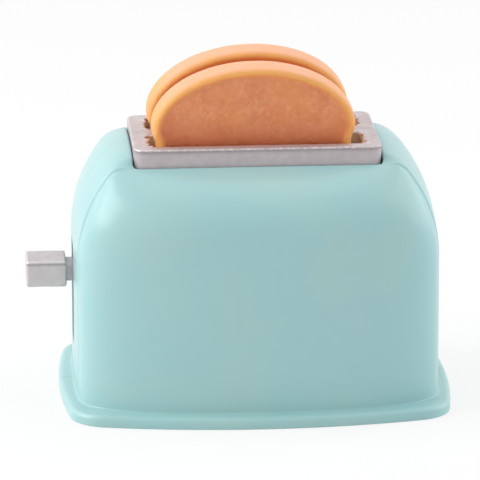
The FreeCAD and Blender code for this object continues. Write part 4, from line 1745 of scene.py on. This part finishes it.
    def build(self, finish: bpy.types.Material) -> bpy.types.Object:
        """Make the plate.

        Args:
            finish: Material of the plate.

        Returns:
            The piece.
        """
        outer = self.outer()
        slots = [self.slot(-self.slot_y), self.slot(self.slot_y)]
        parts = [(grid.reshape(-1, 3), grid_faces(*grid.shape[:2])) for grid in [outer] + slots]
        for height, row, last, fine in ((self.top, -1, 0, True), (self.bottom, 0, -1, False)):
            inside = [slot[:, last] for slot in slots]
            parts.append(self.flat_part(outer[:, row], inside, height, fine))
        low, high = (np.array(corner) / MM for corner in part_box("slot_plate"))
        for side in (-1, 1):
            parts.append(self.tab(side, high[0]))
            ring = self.socket(side * self.rod_x, low[2])
            parts.append((ring.reshape(-1, 3), grid_faces(*ring.shape[:2])))
        flat, faces = joined(parts)
        edge, shade, inner = self.marks(flat)
        edge = np.maximum(edge, self.lumps(flat))
        piece = place_mesh("slot_plate_painted", flat, faces, finish, Body.CASING, Slot.SILVER,
                           "slot_plate")
        # The inner values carry painted light on the slots' walls, the shade values painted shade.
        carry_values(piece, "inner", inner)
        carry_values(piece, "edge", edge)
        carry_values(piece, "shade", shade)
        weld(piece, 0.004)
        smooth_piece(piece, 50.0)
        return piece

    def tab(self, side: int, end: float) -> tuple[Points, list]:
        """Make the tab that screws hold to the shells' roof.

        Args:
            side: -1 for the left end and 1 for the right end.
            end: How far it reaches from the middle.

        Returns:
            Points and faces.
        """
        start = self.slot_half_length + self.skirt_wall / 2
        ends = sorted((side * start, side * end))
        low = (ends[0], -self.tab_half_width, self.skirt_foot)
        high = (ends[1], self.tab_half_width, self.skirt_foot + self.tab_thickness)
        return rounded_block(low, high, 0.2)

    def socket(self, x: float, low: float) -> Points:
        """Make the closed ring that holds a guide rod's top end.

        Args:
            x: X of its middle.
            low: Height of its foot.

        Returns:
            Points by column and row.
        """
        turns = np.radians(np.arange(0, 360, 10))
        normals = np.stack([np.cos(turns), np.sin(turns)], 1)
        middle = np.array([x, 0.0])
        bore, out, step = self.bore_radius, self.socket_radius, self.socket_step
        top = self.skirt_foot + 0.3
        profile = [(bore, top), (bore, low), (out - step, low), (out, low + step), (out, top),
                   (bore, top)]
        return swept(np.repeat(middle[None, :], len(turns), 0), normals, profile)

    def marks(self, points: Points) -> tuple[Points, Points, Points]:
        """Find where the paint shows wear, painted shade and painted light.

        Args:
            points: The plate's points.

        Returns:
            Shares of wear, of painted shade under the top edge and in the groove, and of painted
            light on the slots' walls.
        """
        x, y, z = np.abs(points[:, 0]), np.abs(points[:, 1]), points[:, 2]
        corner = np.hypot(np.maximum(x - self.half_length + self.corner, 0),
                          np.maximum(y - self.half_depth + self.corner, 0)) - self.corner
        inset = -np.maximum(corner, np.maximum(x - self.half_length, y - self.half_depth))
        across = np.abs(y - self.slot_y) - self.slot_half_width
        slot = np.hypot(np.maximum(x - self.slot_half_length, 0), np.maximum(across, 0))
        rim = np.minimum(np.abs(inset), slot)
        drop, fade = self.wear_drop
        edge = smooth_step(1 - rim / self.wear_reach) * smooth_step((z - self.top + drop) / fade)
        # Painted shade: a dark reflection in a band under the top edge's rounding, on the outer
        # wall.
        wall = (np.abs(inset) < self.touch) & (z < self.top - self.edge_round + self.touch)
        drop, fade = self.shade_drop
        shade = np.where(wall, smooth_step((z - self.top + drop) / fade), 0.0)
        # Painted shade along the groove across the plate's ends.
        groove = (y < 0.01) & (x > self.slot_half_length) & (z > self.top - self.groove_drop)
        # Painted light on the slots' walls below their rounding.
        inner = (slot < self.touch) & (z < self.top - self.slot_round + self.touch)
        return edge, np.where(groove, 1.0, shade), np.where(inner, 1.0, 0.0)

    def lumps(self, points: Points) -> Points:
        """Raise drops and ridges of thick paint at the ends of the slots.

        Args:
            points: The plate's points, which are changed.

        Returns:
            How near each point lies to a slot's end, from 0 to 1.
        """
        x, y, z = np.abs(points[:, 0]), np.abs(points[:, 1]), points[:, 2]
        across = np.abs(y - self.slot_y)
        start, fade = self.lump_inside
        end = smooth_step((x - self.slot_half_length + start) / fade)
        start, fade = self.lump_outside
        end *= smooth_step((self.slot_half_length + start - x) / fade)
        start, fade = self.lump_beside
        near = end * smooth_step((self.slot_half_width + start - across) / fade)
        start, fade = self.lump_below
        near *= smooth_step((z - self.top + start) / fade)
        rough = ripple(points, self.lump_size, 4.0, 2)
        points[:, 2] += near * (rough * self.lump_rough + self.lump_rise) * self.lump
        reach = np.where(points[:, 0] < 0, self.left_reach, self.right_reach)
        inward = np.sign(points[:, 0]) * reach
        swell = np.clip(rough * self.lump_rough + self.lump_swell, 0.0, 1.0)
        points[:, 0] -= near * swell * inward
        return np.clip(near * self.lump_wear, 0, 1)


def rounded_block(low: tuple, high: tuple, radius: float, cell: float = 1.1,
                  steps: int = 4) -> tuple[Points, list]:
    """Make a block with round edges.

    Args:
        low: Its lowest corner.
        high: Its highest corner.
        radius: Radius of its edges.
        cell: Size of its faces.
        steps: Steps across an eighth turn of an edge.

    Returns:
        Points and faces.
    """
    lead = radius * (1 - np.tan(np.radians(45 * (1 - np.arange(steps + 1) / steps))))
    axes = []
    for start, end in zip(low, high):
        room = end - start - 2 * radius
        inner = start + radius + room * np.linspace(0, 1, max(2, round(room / cell)) + 1)
        axes.append(np.concatenate([start + lead[:-1], inner, (end - lead[:-1])[::-1]]))
    numbers, points, faces = {}, [], []

    def number(spot: tuple) -> int:
        """Find a point, adding it when it is new.

        Args:
            spot: The point.

        Returns:
            Its number.
        """
        key = tuple(round(part, 5) for part in spot)
        if key not in numbers:
            numbers[key] = len(points)
            points.append(spot)
        return numbers[key]

    for axis in range(3):
        first, second = [k for k in range(3) if k != axis]
        for level in (low[axis], high[axis]):
            for i in range(len(axes[first]) - 1):
                for j in range(len(axes[second]) - 1):
                    corners = []
                    for di, dj in ((0, 0), (1, 0), (1, 1), (0, 1)):
                        spot = [0.0, 0.0, 0.0]
                        spot[axis] = level
                        spot[first] = axes[first][i + di]
                        spot[second] = axes[second][j + dj]
                        corners.append(number(tuple(spot)))
                    faces.append(tuple(corners))
    made = np.array(points)
    inner = np.clip(made, np.array(low) + radius, np.array(high) - radius)
    out = made - inner
    return inner + radius * out / np.linalg.norm(out, axis=1)[:, None], faces


@dataclass
class LeverKnob:
    """Silver knob on the end of the lever's stem.

    Its marks are wear, painted shade under the top edge, a painted highlight along it and painted
    light on the sides.
    The starts and the end of its marks are shares of the edge's radius.
    """

    edge_round: float = 0.6
    wear_start: float = 0.3
    shade_start: float = 0.9
    line_start: float = 0.2
    line_end: float = 0.75
    side_start: float = 1.6
    wear_reach: float = 0.7
    wear: float = 0.5
    shade_reach: float = 0.5
    side_painted_light: float = 0.25
    line_painted_highlight: float = 0.8
    line_reach: float = 0.3
    dent: float = 0.05
    dent_size: float = 3.5

    def build(self, finish: bpy.types.Material) -> bpy.types.Object:
        """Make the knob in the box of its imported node.

        Args:
            finish: Material of the knob.

        Returns:
            The piece.
        """
        low, high = (np.array(corner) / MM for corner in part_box("lever_knob"))
        points, faces = rounded_block(tuple(low), tuple(high), self.edge_round, 0.7, 5)
        inset = np.sort(np.minimum(points - low, high - points), axis=1)
        past = inset[:, 1] - self.edge_round * self.wear_start
        edge = smooth_step(1 - past / self.wear_reach)
        drop = high[2] - points[:, 2]
        below = drop / self.edge_round
        # Painted shade: a dark line just under the top edge's rounding.
        shade = smooth_step(1 - (drop - self.edge_round) / self.shade_reach)
        shade = shade * (below > self.shade_start)
        # Painted highlight: a bright line along the top edges.
        past = inset[:, 1] - self.edge_round * self.line_start
        line = smooth_step(1 - past / self.line_reach) * (below < self.line_end)
        # Painted light: the sides below the top edge are lightened, and the top edges carry the
        # painted highlight.
        painted_light = np.where(below > self.side_start, self.side_painted_light, line * self.line_painted_highlight)
        dents = self.dent * ripple(points, self.dent_size, 9.0)
        points = points + dents[:, None] * np.array([0, 0.6, 1.0])
        inside = np.clip(points, low, high)
        piece = place_mesh("lever_knob_painted", inside, faces, finish, Body.CARRIAGE, Slot.SILVER,
                           "lever_knob")
        carry_values(piece, "edge", edge * self.wear)
        carry_values(piece, "shade", shade)
        carry_values(piece, "inner", painted_light)
        smooth_piece(piece, 60.0)
        return piece


@dataclass
class LiftSpring:
    """Coil spring that lifts the carriage."""

    node: str
    joint: str = "lever_slide"

    def build(self, finish: bpy.types.Material) -> bpy.types.Object:
        """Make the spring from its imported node, standing on its foot.

        Args:
            finish: Material of the spring.

        Returns:
            The piece.
        """
        low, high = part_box(self.node)
        joints = frame["record"]["behaviour"]["joints"]
        travel = next(joint["range_m"][1] for joint in joints if joint["name"] == self.joint)
        packed = frame["nodes"][self.node].data
        points = np.array([vert.co for vert in packed.vertices]) / MM
        faces = [tuple(face.vertices) for face in packed.polygons]
        piece = place_mesh(self.node + "_coil", points, faces, finish, Body.CASING, Slot.STEEL,
                           self.node)
        smooth_piece(piece, 60.0)
        keep = 1 - travel / (high.z - low.z)
        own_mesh(piece)
        return piece


@dataclass(frozen=True)
class Softbox:
    """One square lamp that faces the object: its place, side and power in watts."""

    name: str
    place: tuple
    size: float
    power: float

    def build(self, aim: tuple) -> None:
        """Hang the lamp.

        Args:
            aim: Point that it is turned to.
        """
        light = bpy.data.lights.new(self.name, "AREA")
        light.size = self.size
        light.energy = self.power
        lamp = bpy.data.objects.new(self.name, light)
        lamp.location = self.place
        back = Vector(self.place) - Vector(aim)
        lamp.rotation_euler = back.to_track_quat("Z", "Y").to_euler()
        bpy.context.scene.collection.objects.link(lamp)


@dataclass
class Studio:
    """White floor, soft lamps and the camera at the photograph's viewing angle."""

    turn: float = math.radians(4.38)
    tilt: float = math.radians(15.7)
    focal_px: float = 5000.0
    picture_px: float = 480.0
    sensor: float = 36.0
    distance: float = 1.1529
    clip: tuple = (0.05, 20.0)
    aim: tuple = (0.0, 0.0, 0.032)
    aim_px: tuple = (253.0, 251.4)
    floor_size: float = 6.0
    sky: float = 0.45
    floor_paint: tuple = (0.95, 0.95, 0.95, 1)
    floor_white: float = 0.75
    softboxes: tuple = (
        Softbox("left_softbox", (-0.60, -0.05, 0.42), 0.55, 3.5),
        Softbox("right_softbox", (0.62, 0.10, 0.40), 0.85, 3.05),
        Softbox("top_softbox", (-0.05, 0.15, 0.80), 0.60, 0.6),
        Softbox("rear_softbox", (-0.60, 0.45, 0.34), 0.50, 0.6),
    )

    def build(self) -> None:
        """Make the floor, the world, the lamps and the camera."""
        self.floor()
        self.world()
        for softbox in self.softboxes:
            softbox.build(self.aim)
        self.camera()

    def floor(self) -> None:
        """Make a floor that looks white but keeps the object's shadow."""
        mesh = bpy.data.meshes.new("studio_floor")
        half = self.floor_size / 2
        corners = [(-half, -half, 0), (half, -half, 0), (half, half, 0), (-half, half, 0)]
        mesh.from_pydata(corners, [], [(0, 1, 2, 3)])
        floor = bpy.data.objects.new("studio_floor", mesh)
        bpy.context.scene.collection.objects.link(floor)
        graph = Graph("studio_floor_finish")
        paint = graph.surface({"Base Color": self.floor_paint, "Roughness": 0.6,
                               "Specular IOR Level": 0.2})
        glow = graph.node("ShaderNodeEmission", {}, {"Color": (1, 1, 1, 1), "Strength": 1.0})
        shown = graph.blend(graph.seen() * self.floor_white, paint, glow)
        graph.node("ShaderNodeOutputMaterial", {"target": "ALL"}, {"Surface": shown}, None)
        mesh.materials.append(graph.material)

    def world(self) -> None:
        """Light the scene evenly, with a background that is white to the camera."""
        world = bpy.data.worlds.new("studio_sky")
        bpy.context.scene.world = world
        tree = NodeTree(world)
        colour = (1, 1, 1, 1)
        plain = tree.node("ShaderNodeBackground", {}, {"Color": colour, "Strength": self.sky})
        white = tree.node("ShaderNodeBackground", {}, {"Color": colour, "Strength": 1.0})
        shown = tree.blend(tree.seen(), plain, white)
        tree.node("ShaderNodeOutputWorld", {"target": "ALL"}, {"Surface": shown}, None)

    def camera(self) -> None:
        """Set the camera where the photograph's projection puts it."""
        lens = bpy.data.cameras.new("photo_camera")
        lens.sensor_width = self.sensor
        lens.lens = self.focal_px / self.picture_px * self.sensor
        lens.shift_x = (self.picture_px / 2 - self.aim_px[0]) / self.picture_px
        lens.shift_y = (self.aim_px[1] - self.picture_px / 2) / self.picture_px
        lens.clip_start, lens.clip_end = self.clip
        camera = bpy.data.objects.new("photo_camera", lens)
        ahead = Vector((math.sin(self.turn) * math.cos(self.tilt),
                        math.cos(self.turn) * math.cos(self.tilt), -math.sin(self.tilt)))
        camera.location = Vector(self.aim) - ahead * self.distance
        camera.rotation_euler = (-ahead).to_track_quat("Z", "Y").to_euler()
        bpy.context.scene.collection.objects.link(camera)
        bpy.context.scene.camera = camera
        bpy.context.scene.view_settings.view_transform = "Standard"


def main() -> None:
    """Build the looks in order."""
    dressed = finishes()
    dress_nodes(dressed)
    for side, name, droop in ((1, "front_shell", FRONT_DROOP), (-1, "rear_shell", REAR_DROOP)):
        half = ShellHalf(droop_depth=droop)
        shell = half.build(name + "_moulding", side, dressed[Slot.MINT], name)
        log.info("built %s with %d faces", shell.name, len(shell.data.polygons))
    front = BreadSlice("front_slice", Body.FRONT_BREAD, centre_y=-8.2, shift=-0.65,
                       tilt=math.radians(1.1), seed=11.0, dome=14.2)
    rear = BreadSlice("rear_slice", Body.REAR_BREAD, centre_y=8.2, shift=-0.85,
                      tilt=math.radians(2.2), seed=37.0, dome=14.3)
    pieces = [
        SlotPlate().build(dressed[Slot.SILVER]),
        LeverKnob().build(dressed[Slot.SILVER]),
        LiftSpring("left_spring").build(dressed[Slot.STEEL]),
        LiftSpring("right_spring").build(dressed[Slot.STEEL]),
        front.build(dressed[Slot.TOAST]),
        rear.build(dressed[Slot.TOAST]),
    ]
    for piece in pieces:
        log.info("built %s with %d faces", piece.name, len(piece.data.polygons))
    Studio().build()


if __name__ == "__main__":
    logging.basicConfig(level=logging.INFO, format="%(name)s: %(message)s")
    main()
